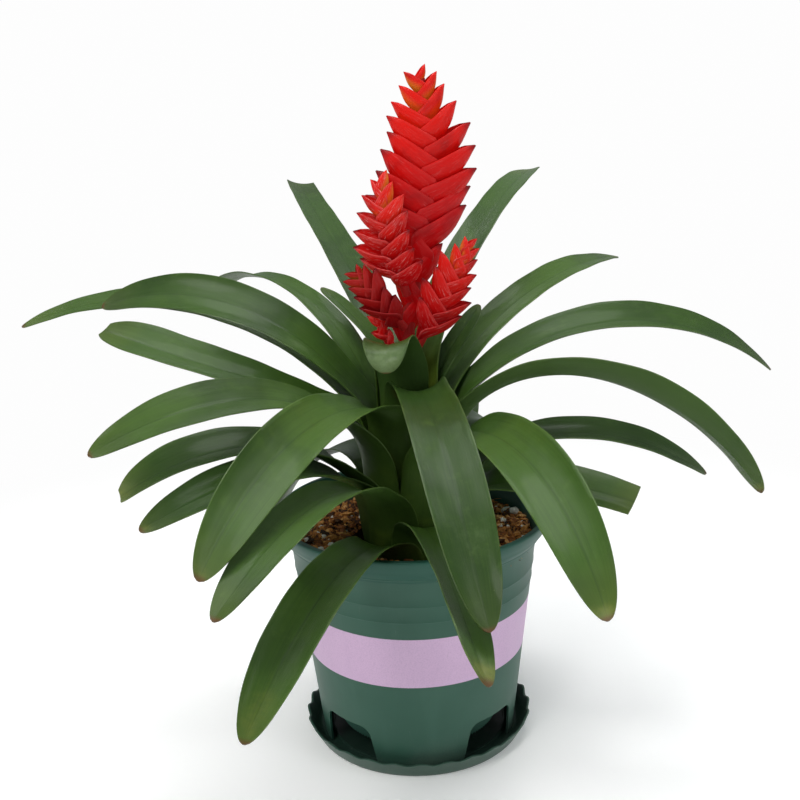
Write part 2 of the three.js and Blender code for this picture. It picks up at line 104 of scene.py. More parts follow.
class Board:  # a node tree
    def __init__(self, tree):
        self.tree = tree

    def find(self, sockets, key):
        if isinstance(key, int):
            return sockets[key]
        named = [s for s in sockets if s.identifier == key] or [s for s in sockets if s.name == key]
        return named[0]

    def add(self, kind, settings=None, values=None, out=0):
        node = self.tree.nodes.new(kind)
        for name, value in (settings or {}).items():
            if name == "stops":
                self.setStops(node.color_ramp, value)
            else:
                setattr(node, name, value)
        for key, value in (values or {}).items():
            socket = self.find(node.inputs, key)
            if isinstance(value, Wire):
                self.tree.links.new(value.socket, socket)
            elif socket.type == "RGBA" and len(value) == 3:
                socket.default_value = (*value, 1)
            else:
                socket.default_value = value
        return Wire(self, self.find(node.outputs, out)) if len(node.outputs) else None

    def setStops(self, ramp, stops):
        while len(ramp.elements) < len(stops):
            ramp.elements.new(0.5)
        for element, (position, colour) in zip(ramp.elements, stops):
            element.position = position
            element.color = (*colour, 1)

    def value(self, operation, *inputs):  # a maths operation that has no sign of its own
        return self.add("ShaderNodeMath", {"operation": operation}, dict(enumerate(inputs)))

    def within(self, value, low, high, soft=True):  # 0 below low, 1 above high
        settings = {"interpolation_type": "SMOOTHSTEP" if soft else "LINEAR"}
        return self.add("ShaderNodeMapRange", settings, {0: value, 1: low, 2: high, 3: 0.0, 4: 1.0})

    def mix(self, share, first, second, blend="MIX"):
        settings = {"data_type": "RGBA", "blend_type": blend}
        values = {"Factor_Float": share, "A_Color": first, "B_Color": second}
        return self.add("ShaderNodeMix", settings, values, "Result_Color")

    def noise(self, place, scale, detail=3.0, rough=0.55, warp=0.0):
        values = {"Vector": place, "Scale": scale, "Detail": detail, "Roughness": rough, "Distortion": warp}
        return self.add("ShaderNodeTexNoise", {}, values, "Fac")

    def attribute(self, name):
        return self.add("ShaderNodeAttribute", {"attribute_name": name}, {}, "Fac")

    def attributes(self, *names):
        return [self.attribute(name) for name in names]

    def place(self, stretch=(1, 1, 1)):
        spot = self.add("ShaderNodeTexCoord", {}, {}, "Object")
        return self.add("ShaderNodeMapping", {}, {"Vector": spot, "Scale": stretch})

    def bump(self, height, strength, distance, under=None):
        values = {"Height": height, "Strength": strength, "Distance": distance}
        if under:
            values["Normal"] = under
        return self.add("ShaderNodeBump", {}, values, "Normal")

    def layer(self, colour, look, *coats):  # each coat is its share and the name of its colour
        for share, name in coats:
            colour = self.mix(share, colour, look[name])
        return colour

    def vector(self, x=0.0, y=0.0, z=0.0):
        return self.add("ShaderNodeCombineXYZ", {}, {0: x, 1: y, 2: z})

    def part(self, vector, name):
        return self.add("ShaderNodeSeparateXYZ", {}, {0: vector}, name)

    def turn(self, angles):
        return self.add("FunctionNodeEulerToRotation", {}, {0: angles})

    def anyNumber(self, low, high, seed, index=None):
        values = {"Min_001": low, "Max_001": high, "Seed": seed}
        if index:
            values["ID"] = index
        return self.add("FunctionNodeRandomValue", {"data_type": "FLOAT"}, values, "Value_001")

    def store(self, geometry, name, value):
        return self.add("GeometryNodeStoreNamedAttribute", {"data_type": "FLOAT", "domain": "POINT"},
                        {"Geometry": geometry, "Name": name, "Value": value})

    def copies(self, points, shape, rotation, size=(1, 1, 1)):  # one copy of the shape on each point
        shape = self.add("GeometryNodeObjectInfo", {}, {"Object": shape}, "Geometry")
        return self.add("GeometryNodeInstanceOnPoints", {},
                        {"Points": points, "Instance": shape, "Rotation": rotation, "Scale": size})


def makeMaterial(name, recipe, look):
    material = bpy.data.materials.new(name)
    material.use_nodes = True
    material.node_tree.nodes.clear()
    board = Board(material.node_tree)
    shader = board.add("ShaderNodeBsdfPrincipled", {}, recipe(board, look))
    board.add("ShaderNodeOutputMaterial", {}, {"Surface": shader})
    return material


# ---- materials, each with the values that set its look
tintKinds = ("yellow", "pale", "brown")  # in the order in which they lie over a leaf
leafLook = {
    "shade": (0.010, 0.032, 0.004),
    "blade": (0.044, 0.104, 0.010),
    "light": (0.090, 0.170, 0.026),
    "sheath": (0.070, 0.135, 0.014),
    "lime": (0.240, 0.340, 0.035),
    "tip": (0.085, 0.140, 0.020),
    "under": (0.042, 0.090, 0.016),
    "margin": (0.150, 0.220, 0.060),
    "brown": (0.110, 0.045, 0.012),
    "yellow": (0.300, 0.300, 0.050),
    # painted sheen: pale patches standing for light glancing off a leaf's bends
    "pale": (0.220, 0.310, 0.140),
    "gloss": {"Coat Weight": 0.12, "Coat Roughness": 0.18, "Specular IOR Level": 0.24},
}


def leafTissue(board, look):
    spot = board.place()
    across, reach, length, tone, under = board.attributes("across", "reach", "length", "tone", "under")
    strands = board.vector(across * 26.0, length * 14.0, tone * 31.0)
    veins = board.noise(strands, 1.0, 4.0, 0.6)
    threads = board.noise(board.vector(across * 70.0, length * 30.0, tone * 11.0), 1.0, 3.0, 0.6)
    ribs = board.add("ShaderNodeTexWave", {"bands_direction": "X"}, {
        "Vector": strands, "Scale": 0.55, "Distortion": 1.2, "Detail": 2.0, "Detail Scale": 0.6}, "Fac")
    clouds = board.noise(spot, 16.0, 3.0, 0.5)
    mottle = board.noise(spot, 110.0, 4.0, 0.6)
    ragged = board.noise(spot, 240.0, 5.0, 0.65)
    edge = board.value("ABSOLUTE", across)
    crease = (1 - board.within(edge, 0.0, 0.05)) * board.within(reach, 0.0, 0.2)
    sheathed = 1 - board.within(reach, -0.25, 0.12)
    patches = board.within(board.noise(spot, 38.0, 3.0, 0.55), 0.47, 0.72)
    broken = board.within(mottle, 0.35, 0.6)
    specks = board.within(board.noise(spot, 620.0, 2.0, 0.5), 0.72, 0.78)
    stops = [(0.0, look["shade"]), (0.30, look["sheath"]), (0.5, look["sheath"]), (0.56, look["blade"]),
             (0.93, look["blade"]), (0.99, look["tip"])]
    colour = board.add("ShaderNodeValToRGB", {"stops": stops}, {0: reach * 0.5 + 0.5}, "Color")
    colour = board.layer(
        colour, look,
        (board.within(tone, 0.0, 0.5) * 0.4, "light"),
        (board.within(0 - tone, 0.0, 0.5) * 0.55, "shade"),
        (board.within(clouds, 0.42, 0.72) * 0.6, "shade"),
        (board.within(mottle, 0.52, 0.85) * 0.35, "light"),
        (board.within(veins, 0.45, 0.75) * 0.34, "shade"),
        (board.within(threads, 0.5, 0.8) * 0.3, "light"),
        (crease * 0.35, "shade"),
        (patches * sheathed * board.within(reach, -1.0, -0.5) * 0.85, "lime"),
        (under * 0.6, "under"),
        (board.within(edge, 0.965, 1.0) * (sheathed * 0.5 + 0.22) * broken, "margin"),
        # yellow and brown are real discolouring; the sheen tint is painted highlight on the bends
        *[(board.within(board.attribute(tint) + (ragged - 0.5) * 0.35, 0.2, 0.95), tint) for tint in tintKinds],
        (specks * 0.3, "margin"))
    normal = board.bump(ribs * 0.5 + veins * 0.8 + mottle * 0.25, 0.4, 0.0006)
    return {"Base Color": colour, "Roughness": 0.27 + veins * 0.14 + mottle * 0.08 + under * 0.1,
            "Normal": board.bump(clouds, 0.25, 0.012, normal), **look["gloss"]}


bractLook = {
    # deep: a darker red, used for random clouding and for painted shade at each bract's foot
    "deep": (0.100, 0.001, 0.003),
    "red": (0.520, 0.001, 0.003),
    "scarlet": (0.740, 0.008, 0.003),
    "dark": (0.150, 0.004, 0.005),
    "pink": (0.640, 0.100, 0.095),
    # painted highlight: whitish glints on the glossy, foil-like flushed blooms
    "silver": (0.820, 0.480, 0.460),
    "bud": (0.640, 0.250, 0.018),
    "olive": (0.260, 0.170, 0.020),
    "tip": (0.090, 0.004, 0.008),
    "stalk": (0.300, 0.012, 0.012),
    "stalkFoot": (0.090, 0.030, 0.014),
    # Emission Strength: painted glow, the bracts shine faintly in their own colour to lighten the shaded gaps between
    # them
    "gloss": {"Coat Weight": 0.08, "Coat Roughness": 0.16, "Specular IOR Level": 0.14,
              "Emission Strength": 0.16},
}


def bractTissue(board, look):
    spot = board.place()
    along, order, tone, flush = board.attributes("along", "order", "tone", "flush")
    across, stalk, ripe = board.attributes("across", "stalk", "ripe")
    strands = board.vector(across * 9.0, along * 2.2, tone * 17.0)
    veins = board.noise(strands, 1.0, 3.0, 0.55)
    clouds = board.noise(spot, 90.0, 3.0, 0.55)
    edge = board.value("ABSOLUTE", across)
    # streaks of painted highlight, strongest on the flushed, glossy blooms
    glintStreaks = board.within(board.noise(strands, 2.3, 3.0, 0.6), 0.56, 0.74)
    dark = board.within(along, 0.84, 1.0) * board.within(1 - order, 0.1, 0.7)
    soft = board.within(clouds * 0.3 + edge * 0.6 + along * 0.5, 0.35, 0.85)
    young = board.within(order, 0.62, 0.95) * (1 - soft)
    colour = board.mix(board.within(order + along * 0.3, 0.1, 1.0), look["red"], look["scarlet"])
    colour = board.layer(
        colour, look,
        (ripe, "dark"),
        # painted shade: the foot of each bract, tucked under the bract below, is darkened
        ((1 - board.within(along, 0.0, 0.45)) * 0.3, "deep"),
        (board.within(clouds + tone * 0.2, 0.5, 0.9) * 0.4, "deep"),
        (board.within(veins, 0.5, 0.8) * (flush * 0.75), "pink"),
        (glintStreaks * flush * 0.6, "silver"),
        (board.within(edge, 0.86, 1.0) * (0.06 + flush * 0.35), "pink"),
        (dark * 0.8, "tip"))
    colour = board.mix(young * 0.8, colour, board.mix(ripe, look["bud"], look["olive"]))
    high = board.within(board.part(spot, "Z"), 0.2, 0.26)
    colour = board.mix(stalk, colour, board.mix(high, look["stalkFoot"], look["stalk"]))
    return {"Base Color": colour, "Roughness": 0.34 + clouds * 0.16 + veins * 0.12,
            # the bract's own colour is also sent out as light: painted glow
            "Normal": board.bump(veins + clouds * 0.5, 0.45, 0.0008), "Emission Color": colour, **look["gloss"]}


potLook = {
    "body": (0.034, 0.098, 0.068),
    "worn": (0.064, 0.150, 0.108),
    "rim": (0.018, 0.082, 0.058),
    "band": (0.640, 0.450, 0.640),
    "bandInk": (0.52, 0.36, 0.54),
    "dust": (0.200, 0.230, 0.200),
    # rib and ribGlow: painted light, a lighter green and a faint glow standing in for light reaching the underside
    # ribs through the arches
    "rib": (0.060, 0.150, 0.115),
    "ribGlow": (0.003, 0.010, 0.007),
    "bandLow": 0.0598,
    "bandHigh": 0.0920,
}


def potPlastic(board, look):
    spot = board.place()
    height = board.part(spot, "Z")
    outer, rib = board.attributes("outer", "rib")
    clouds = board.noise(spot, 14.0, 4.0, 0.55)
    grain = board.noise(spot, 1400.0, 2.0, 0.5)
    flow = board.noise(board.place((60, 60, 5)), 1.0, 4.0, 0.6)
    dusty = (1 - board.within(height, 0.002, 0.03)) * board.within(clouds + grain * 0.25, 0.5, 0.85)
    scuffs = board.within(board.noise(board.place((700, 700, 40)), 1.0, 3.0, 0.6), 0.68, 0.76)
    # the band's edges are a little ragged
    level = height + (board.noise(spot, 900.0, 2.0, 0.5) - 0.5) * 0.00018
    low, high = [board.within(level, look[end] - 0.0001, look[end] + 0.0001) for end in ("bandLow", "bandHigh")]
    printed = low * (1 - high) * outer
    colour = board.mix(board.within(clouds, 0.35, 0.75) * 0.35, look["body"], look["worn"])
    colour = board.layer(
        colour, look,
        (board.within(flow, 0.5, 0.8) * 0.25, "worn"),
        (board.within(height, 0.1285, 0.1335) * 0.85, "rim"),
        ((1 - outer) * 0.9, "rim"),
        # painted light: the underside ribs are coloured lighter than the plastic
        (rib, "rib"),
        (dusty * 0.3, "dust"))
    ink = board.mix(board.within(grain, 0.4, 0.7) * 0.6, look["band"], look["bandInk"])
    ink = board.mix(board.within(flow, 0.45, 0.8) * 0.3, ink, look["bandInk"])
    colour = board.layer(board.mix(printed, colour, ink), look, (scuffs * 0.18, "dust"))
    normal = board.bump(grain * 0.4 + flow * 0.6, 0.2, 0.0002)
    return {"Base Color": colour, "Roughness": 0.40 + clouds * 0.1 + scuffs * 0.15 + printed * 0.06,
            "Normal": board.bump(printed, 0.15, 0.0001, normal), "Specular IOR Level": 0.25,
            # the ribs glow faintly: painted light
            "Emission Color": board.mix(rib, (0.0, 0.0, 0.0), look["ribGlow"]), "Emission Strength": 1.0}


saucerLook = {
    "body": (0.036, 0.082, 0.058),
    "worn": (0.060, 0.115, 0.085),
    # deep: the inside painted near black, partly a darker plastic and partly painted shade under the pot
    "deep": (0.008, 0.022, 0.016),
    "dust": (0.160, 0.190, 0.160),
}


def saucerPlastic(board, look):
    spot = board.place()
    clouds = board.noise(spot, 22.0, 4.0, 0.55)
    grain = board.noise(spot, 1200.0, 2.0, 0.5)
    scratches = board.within(board.noise(board.place((500, 40, 500)), 1.0, 3.0, 0.6), 0.66, 0.74)
    colour = board.mix(board.within(clouds, 0.35, 0.75) * 0.4, look["body"], look["worn"])
    colour = board.layer(
        colour, look,
        # the inside is darkened: darker plastic with painted shade
        (board.attribute("inner") * 0.85, "deep"),
        (scratches * 0.22, "dust"),
        (board.within(grain * clouds, 0.32, 0.45) * 0.15, "dust"))
    return {"Base Color": colour, "Roughness": 0.34 + clouds * 0.12 + scratches * 0.15,
            "Normal": board.bump(grain, 0.15, 0.0002), "Specular IOR Level": 0.3}


barkLook = {
    "stops": [(0.0, (0.008, 0.004, 0.002)), (0.3, (0.070, 0.024, 0.006)), (0.55, (0.280, 0.092, 0.016)),
              (0.8, (0.560, 0.230, 0.046)), (1.0, (0.700, 0.420, 0.160))],
    # near black: dark soil, and painted shade standing for the gaps between chips
    "dirt": (0.016, 0.007, 0.003),
}


def barkChip(board, look):
    spot = board.place()
    tone = board.attribute("tone")
    fibres = board.noise(board.place((1500, 260, 700)), 1.0, 4.0, 0.65)
    patches = board.noise(spot, 420.0, 4.0, 0.6)
    shade = tone * 0.85 + (fibres - 0.5) * 0.7 + (patches - 0.5) * 0.6 + 0.12
    colour = board.add("ShaderNodeValToRGB", {"stops": look["stops"]}, {0: shade}, "Color")
    # dark patches: dark soil with painted shade of the gaps between chips
    colour = board.mix(board.within(patches, 0.55, 0.8) * 0.5, colour, look["dirt"])
    rough = 0.72 + fibres * 0.2
    return {"Base Color": colour, "Roughness": rough, "Normal": board.bump(fibres + patches, 0.7, 0.0006)}


perliteLook = {"white": (0.86, 0.85, 0.80), "pit": (0.42, 0.38, 0.31), "stain": (0.50, 0.36, 0.22)}


def perliteGrain(board, look):
    spot = board.place()
    cells = board.add("ShaderNodeTexVoronoi", {}, {"Vector": spot, "Scale": 1500.0}, "Distance")
    clouds = board.noise(spot, 500.0, 4.0, 0.6)
    colour = board.mix(1 - board.within(cells, 0.05, 0.35), look["white"], look["pit"])
    colour = board.mix(board.within(clouds, 0.6, 0.8) * 0.5, colour, look["stain"])
    return {"Base Color": colour, "Roughness": 0.8 + clouds * 0.15,
            "Normal": board.bump(cells + clouds, 0.6, 0.0005)}


stemLook = {"core": (0.28, 0.27, 0.10), "fibre": (0.12, 0.08, 0.03)}


def stemTissue(board, look):
    fibres = board.noise(board.place((900, 900, 60)), 1.0, 4.0, 0.6)
    colour = board.mix(board.within(fibres, 0.4, 0.7), look["core"], look["fibre"])
    return {"Base Color": colour, "Roughness": 0.6 + fibres * 0.2, "Normal": board.bump(fibres, 0.5, 0.0005)}


floorLook = {
    "paper": (0.95, 0.95, 0.945),
    "warm": (0.92, 0.92, 0.91),
    "glow": (0.985, 0.985, 0.985),
    "nearGlow": (0.16, 0.16, 0.16),
    "fade": (0.20, 0.62),
}


# paper near the plant that fades into the white surround
def floorPaper(board, look):
    spot = board.place()
    clouds = board.noise(spot, 1.2, 3.0, 0.5)
    away = board.add("ShaderNodeVectorMath", {"operation": "LENGTH"}, {0: spot}, "Value")
    far = board.within(away, *look["fade"])
    colour = board.mix(far, board.mix(clouds, look["paper"], look["warm"]), (0.0, 0.0, 0.0))
    return {"Base Color": colour, "Roughness": 0.9, "Specular IOR Level": 0.0,
            "Normal": board.bump(board.noise(spot, 900.0), 0.02, 0.0002),
            "Emission Color": board.mix(far, look["nearGlow"], look["glow"]), "Emission Strength": 1.0}


materials = {
    "leaf": makeMaterial("leafTissue", leafTissue, leafLook),
    "bract": makeMaterial("bractTissue", bractTissue, bractLook),
    "pot": makeMaterial("potPlastic", potPlastic, potLook),
    "saucer": makeMaterial("saucerPlastic", saucerPlastic, saucerLook),
    "bark": makeMaterial("barkChip", barkChip, barkLook),
    "perlite": makeMaterial("perliteGrain", perliteGrain, perliteLook),
    "stem": makeMaterial("stemTissue", stemTissue, stemLook),
    "floor": makeMaterial("floorPaper", floorPaper, floorLook),
}
print("materials made:", len(materials))


# ---- mesh helpers
def smooth(t):
    t = np.clip(t, 0, 1)
    return t * t * (3 - 2 * t)


def blend(first, second, share):
    return first + (second - first) * share


def finishMesh(mesh, sharp, attributes=None):
    for label, values in (attributes or {}).items():
        mesh.attributes.new(label, "FLOAT", "POINT").data.foreach_set("value", np.asarray(values, np.float32))
    mesh.shade_smooth()
    mesh.set_sharp_from_angle(angle=math.radians(sharp))
    mesh.update()
    return mesh


def makeMesh(name, points, faces, attributes=None, sharp=50):
    mesh = bpy.data.meshes.new(name)
    mesh.from_pydata((np.asarray(points) * mm).tolist(), [], faces)
    return finishMesh(mesh, sharp, attributes)


def makeLine(name, points):  # a line of edges through points in millimetres
    mesh = bpy.data.meshes.new(name)
    mesh.from_pydata((np.array(points) * mm).tolist(), [(i, i + 1) for i in range(len(points) - 1)], [])
    return mesh


def readPlaces(mesh):  # x, y and z of its points in millimetres
    places = np.zeros(len(mesh.vertices) * 3)
    mesh.vertices.foreach_get("co", places)
    return places.reshape(-1, 3).T / mm


def makePiece(name, mesh, material=None):
    piece = bpy.data.objects.new(name, mesh)
    bpy.context.scene.collection.objects.link(piece)
    if material:
        mesh.materials.clear()
        mesh.materials.append(material)
    return piece


def pieceName(node):  # leaf_left_low becomes leafLeftLow
    first, *rest = node.split("_")
    return first + "".join(word.title() for word in rest)


def settle(piece, slot, *solids):  # hands a finished piece to the frame
    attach(piece, "root")
    if solids:
        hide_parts(*solids)


def measureVolume(points, faces):
    total = 0.0
    for face in faces:
        a = points[face[0]]
        for i in range(1, len(face) - 1):
            total += np.dot(a, np.cross(points[face[i]], points[face[i + 1]]))
    return total / 6


def turnOutward(points, faces):
    if measureVolume(points, faces) < 0:
        faces = [tuple(reversed(face)) for face in faces]
    return faces


def ringFaces(count, rings, first=0):  # quads between closed rings of count points each
    faces = []
    for r in range(rings - 1):
        low, high = first + r * count, first + (r + 1) * count
        for k in range(count):
            n = (k + 1) % count
            faces.append((low + k, low + n, high + n, high + k))
    return faces


# Faces of a thin closed strip: each ring is its upper points, one edge point, its lower points
# in the other direction, and the other edge point.
def stripFaces(rows, columns):
    count = 2 * columns + 4
    faces = ringFaces(count, rows)
    last = (rows - 1) * count
    under = [2 * columns + 2 - k for k in range(columns + 1)]
    right, left = columns + 1, 2 * columns + 3
    for k in range(columns):
        faces.append((k + 1, k, under[k], under[k + 1]))
        faces.append((last + k, last + k + 1, last + under[k + 1], last + under[k]))
    faces.append((columns, under[columns], right))
    faces.append((under[0], 0, left))
    faces.append((last + right, last + under[columns], last + columns))
    faces.append((last + left, last, last + under[0]))
    return faces


# A profile of (radius, height) turned about the plant's axis, closed where it meets the axis.
def turnedMesh(profile, sides):
    points, rows = [], []
    for radius, height in profile:
        count = 1 if radius < 1e-6 else sides
        rows.append(list(range(len(points), len(points) + count)))
        for k in range(count):
            angle = 2 * math.pi * k / sides
            points.append((radius * math.cos(angle), radius * math.sin(angle), height))
    faces = []
    for lower, upper in zip(rows, rows[1:]):
        for k in range(sides):
            n = (k + 1) % sides
            loop = [lower[k % len(lower)], lower[n % len(lower)], upper[n % len(upper)], upper[k % len(upper)]]
            loop = [p for i, p in enumerate(loop) if p not in loop[:i]]
            if len(loop) > 2:
                faces.append(tuple(loop))
    points = np.array(points)
    return points, turnOutward(points, faces)


# ---- geometry trees: what repeats is grown by a tree and then turned into a plain mesh
def startTree(name, inputs):  # a number makes an input with that default, a word one of that kind
    tree = bpy.data.node_groups.new(name, "GeometryNodeTree")
    tree.interface.new_socket("Geometry", in_out="INPUT", socket_type="NodeSocketGeometry")
    for label, value in inputs.items():
        kind = {int: "Int", float: "Float"}.get(type(value), value)
        socket = tree.interface.new_socket(label, in_out="INPUT", socket_type="NodeSocket" + kind)
        if kind != value:
            socket.default_value = value
    tree.interface.new_socket("Geometry", in_out="OUTPUT", socket_type="NodeSocketGeometry")
    board = Board(tree)
    return board, board.add("NodeGroupInput", {}, {}, "Geometry")


def finishTree(board, geometry, material):
    whole = board.add("GeometryNodeRealizeInstances", {}, {"Geometry": geometry})
    dressed = board.add("GeometryNodeSetMaterial", {}, {"Geometry": whole, "Material": material})
    board.add("NodeGroupOutput", {}, {"Geometry": dressed})
    return board.tree


def growMesh(start, tree, values):
    holder = makePiece("growing", start)
    growth = holder.modifiers.new("growth", "NODES")
    growth.node_group = tree
    for item in tree.interface.items_tree:
        if item.in_out == "INPUT" and item.name in values:
            growth[item.identifier] = values[item.name]
    graph = bpy.context.evaluated_depsgraph_get()
    grown = bpy.data.meshes.new_from_object(
        holder.evaluated_get(graph), preserve_all_data_layers=True, depsgraph=graph)
    bpy.data.objects.remove(holder)
    return grown


# ---- leaves: the same rule as the solids', with a crease, rounded edges and a slight ripple
blade = {
    "thickness": 0.8,
    "base": 113.0,
    "foot": 0.8,
    "lean": 0.17,
    "sheath": 0.625,
    "belly": 1.15,
    "wrap": 1.05,
    "flare": 0.4,
    "flareLength": 45,
    "shoulder": 30,
    "channel": 26,
    "opening": 60,
    "columns": 14,
    "rows": 60,
    "sheathRows": 14,
    "crease": 0.55,
    "creaseWidth": 0.13,
    "ripple": 0.22,
    "rippleLengths": (11, 4.7),
    "steps": 720,
}

# heading and sway in degrees, width, length, sheath radius (nest) and neck height in mm,
# angle above level at the neck and tip, spread of the bend, twist, and the kind of end
leafFields = ("heading", "sway", "width", "length", "nest", "neck", "rise", "tip", "bend", "twist", "end")
leafRows = {
    "leaf_cup_front": (250, 21, 29, 70, 17, 215, 85, -100, 2.3, 3, "point"),
    "leaf_front_centre": (278, 6, 32, 200, 18.5, 211, 53, -48, 0.4, 5, "point"),
    "leaf_front_low": (276, 7, 28, 185, 36.5, 135, 57, -22, 0.4, -34, "point"),
    "leaf_front_right_broad": (295, -14, 32, 221, 32, 178, 80, -42, 0.5, 28, "point"),
    "leaf_right_cut": (-30, 4, 29, 111, 35, 150, 62, -13, 0.4, 31, "cut"),
    "leaf_right_low": (1, 0, 29, 162, 33.5, 158, 64, -36, 0.55, 13, "point"),
    "leaf_right_arched": (-28, 13, 33, 213, 30.5, 191, 81, -58, 0.65, -42, "point"),
    "leaf_right_long": (8, 6, 32, 239, 24.5, 190, 64, -41, 0.8, 19, "point"),
    "leaf_right_high": (42, 14, 25, 226, 21.5, 194, 61, -9, 0.65, 8, "point"),
    "leaf_upright_right": (57, 18, 24, 230, 17, 224, 64, -1, 0.75, -8, "blunt"),
    "leaf_inner_right": (31, 13, 11, 59, 18.5, 215, 77, 39, 0.4, 34, "point"),
    "leaf_back_right_low": (34, -5, 32, 120, 38, 142, 30, -70, 0.8, 0, "point"),
    "leaf_back_right": (53, -8, 33, 136, 32, 167, 35, -70, 0.7, 0, "point"),
    "leaf_back_right_high": (77, -6, 38, 174, 29, 183, 46, -76, 0.8, 0, "point"),
    "leaf_back_high": (75, 6, 28, 178, 26, 183, 46, -75, 0.9, 0, "point"),
    "leaf_back_low": (98, 6, 34, 165, 36.5, 150, 40, -70, 0.8, 0, "point"),
    "leaf_back_left": (140, 4, 28, 150, 30.5, 161, 40, -70, 0.4, 2, "point"),
    "leaf_upright_left": (112, -10, 29, 240, 20, 219, 50, 12, 0.4, 10, "cut"),
    "leaf_inner_left": (154, -11, 16, 67, 15.5, 226, 72, 29, 0.65, 6, "point"),
    "leaf_left_arched": (136, -11, 22, 231, 23, 182, 86, -36, 0.85, 9, "point"),
    "leaf_left_high": (167, -3, 29, 210, 21.5, 187, 60, -22, 1.2, -42, "point"),
    "leaf_left_long": (160, 14, 21, 265, 24.5, 182, 62, -24, 0.85, -24, "point"),
    "leaf_left_blunt": (185, -29, 29, 174, 27.5, 186, 37, 15, 0.4, -23, "blunt"),
    "leaf_left_level": (219, -24, 28, 194, 29, 175, 76, -29, 0.7, -31, "point"),
    "leaf_left_twisted": (217, -28, 32, 175, 32, 148, 67, -35, 0.95, -13, "blunt"),
    "leaf_left_low": (227, -21, 29, 170, 33.5, 148, 69, -24, 0.65, -18, "point"),
    "leaf_front_left_broad": (242, 10, 30, 215, 26, 199, 64, -29, 0.4, -41, "point"),
    "leaf_front_left_low": (249, -3, 26, 219, 35, 145, 60, -21, 0.6, -7, "point"),
    "leaf_front_left_lowest": (250, 0, 31, 206, 38, 124, 62, -27, 0.4, -3, "point"),
}
leaves = {name: dict(zip(leafFields, row)) for name, row in leafRows.items()}

# where a leaf is discoloured, or has a painted sheen where light glances off a bend: kind, place along the blade and
# across it, reach both ways, strength
leafTints = {
    "leaf_left_arched": [("brown", 0.22, -1.0, 0.12, 0.22, 0.75), ("pale", 0.42, 0.3, 0.05, 0.5, 0.25)],
    "leaf_front_centre": [("brown", 0.06, -0.3, 0.05, 0.7, 0.55), ("pale", 0.76, 0.2, 0.13, 1.3, 0.3)],
    "leaf_front_low": [("brown", 1.0, 0, 0.03, 3, 0.9), ("yellow", 0.96, 0.2, 0.06, 2, 0.5)],
    "leaf_front_left_lowest": [("yellow", 0.95, 0, 0.2, 1.2, 0.35)],
    "leaf_front_left_broad": [("yellow", 1.0, 0, 0.05, 3, 0.4), ("pale", 0.09, 0.4, 0.06, 0.5, 0.45)],
    "leaf_left_high": [("pale", 0.36, 0.4, 0.07, 0.35, 0.4)],
    "leaf_left_level": [("pale", 0.26, 0.5, 0.12, 0.35, 0.35)],
    "leaf_right_long": [("pale", 0.36, 0.3, 0.12, 0.3, 0.35)],
    "leaf_right_low": [("pale", 0.85, 0.2, 0.16, 0.35, 0.35)],
    "leaf_front_right_broad": [("yellow", 1.0, 0, 0.05, 3, 0.5), ("brown", 1.0, 0, 0.012, 3, 0.8)],
    "leaf_left_twisted": [("yellow", 1.0, 0, 0.08, 3, 0.4)],
    "leaf_left_low": [("yellow", 1.0, 0, 0.06, 3, 0.4)],
    "leaf_right_arched": [("yellow", 1.0, 0, 0.04, 3, 0.5)],
    "leaf_cup_front": [("pale", 0.95, 0, 0.3, 2, 0.6)],
    "leaf_back_right_high": [("yellow", 0.5, 0.8, 0.2, 0.4, 0.5)],
    "leaf_back_high": [("yellow", 0.45, -0.8, 0.2, 0.4, 0.4)],
}


def footRadius(leaf):  # sheaths slope outward as they rise
    sloped = leaf["nest"] - blade["lean"] * (leaf["neck"] - blade["base"])
    return max(blade["foot"] * leaf["nest"], sloped)


def leafFrames(leaf, t):
    slope = (leaf["nest"] - footRadius(leaf)) / (leaf["neck"] - blade["base"])
    start = 90 - math.degrees(math.atan(slope))
    rise = blend(start, leaf["rise"], smooth(t * leaf["length"] / blade["shoulder"]))
    pitch = np.radians(rise + (leaf["tip"] - leaf["rise"]) * t ** leaf["bend"])
    heading = np.radians(leaf["heading"] + leaf["sway"] * t * t)
    along = np.stack([np.cos(pitch) * np.cos(heading), np.cos(pitch) * np.sin(heading), np.sin(pitch)], 1)
    across = np.stack([-np.sin(heading), np.cos(heading), 0 * heading], 1)
    inward = np.cross(along, across)
    twist = (math.radians(leaf["twist"]) * smooth(t / 0.7))[:, None]
    return along, across * np.cos(twist) + inward * np.sin(twist), inward * np.cos(twist) - across * np.sin(twist)


def strapHalfWidth(leaf, t):
    strap = leaf["width"] / 2 * (0.86 + 0.14 * smooth(t / 0.3))
    if leaf["end"] == "cut":
        return strap * (1 - 0.3 * t * t)
    if leaf["end"] == "blunt":
        return strap * np.sqrt(1 - 0.85 * np.maximum(0, (t - 0.75) / 0.25) ** 3)
    taper = np.maximum(0, (t - 0.45) / 0.55)
    return strap * np.maximum(0, 1 - taper ** 3) ** 0.6 + 0.6 * t


def leafHalfWidth(leaf, t, radius):
    flare = blade["flare"] * (1 - smooth(t * leaf["length"] / blade["flareLength"]))
    return np.minimum(strapHalfWidth(leaf, t) * (1 + flare), blade["wrap"] * radius)


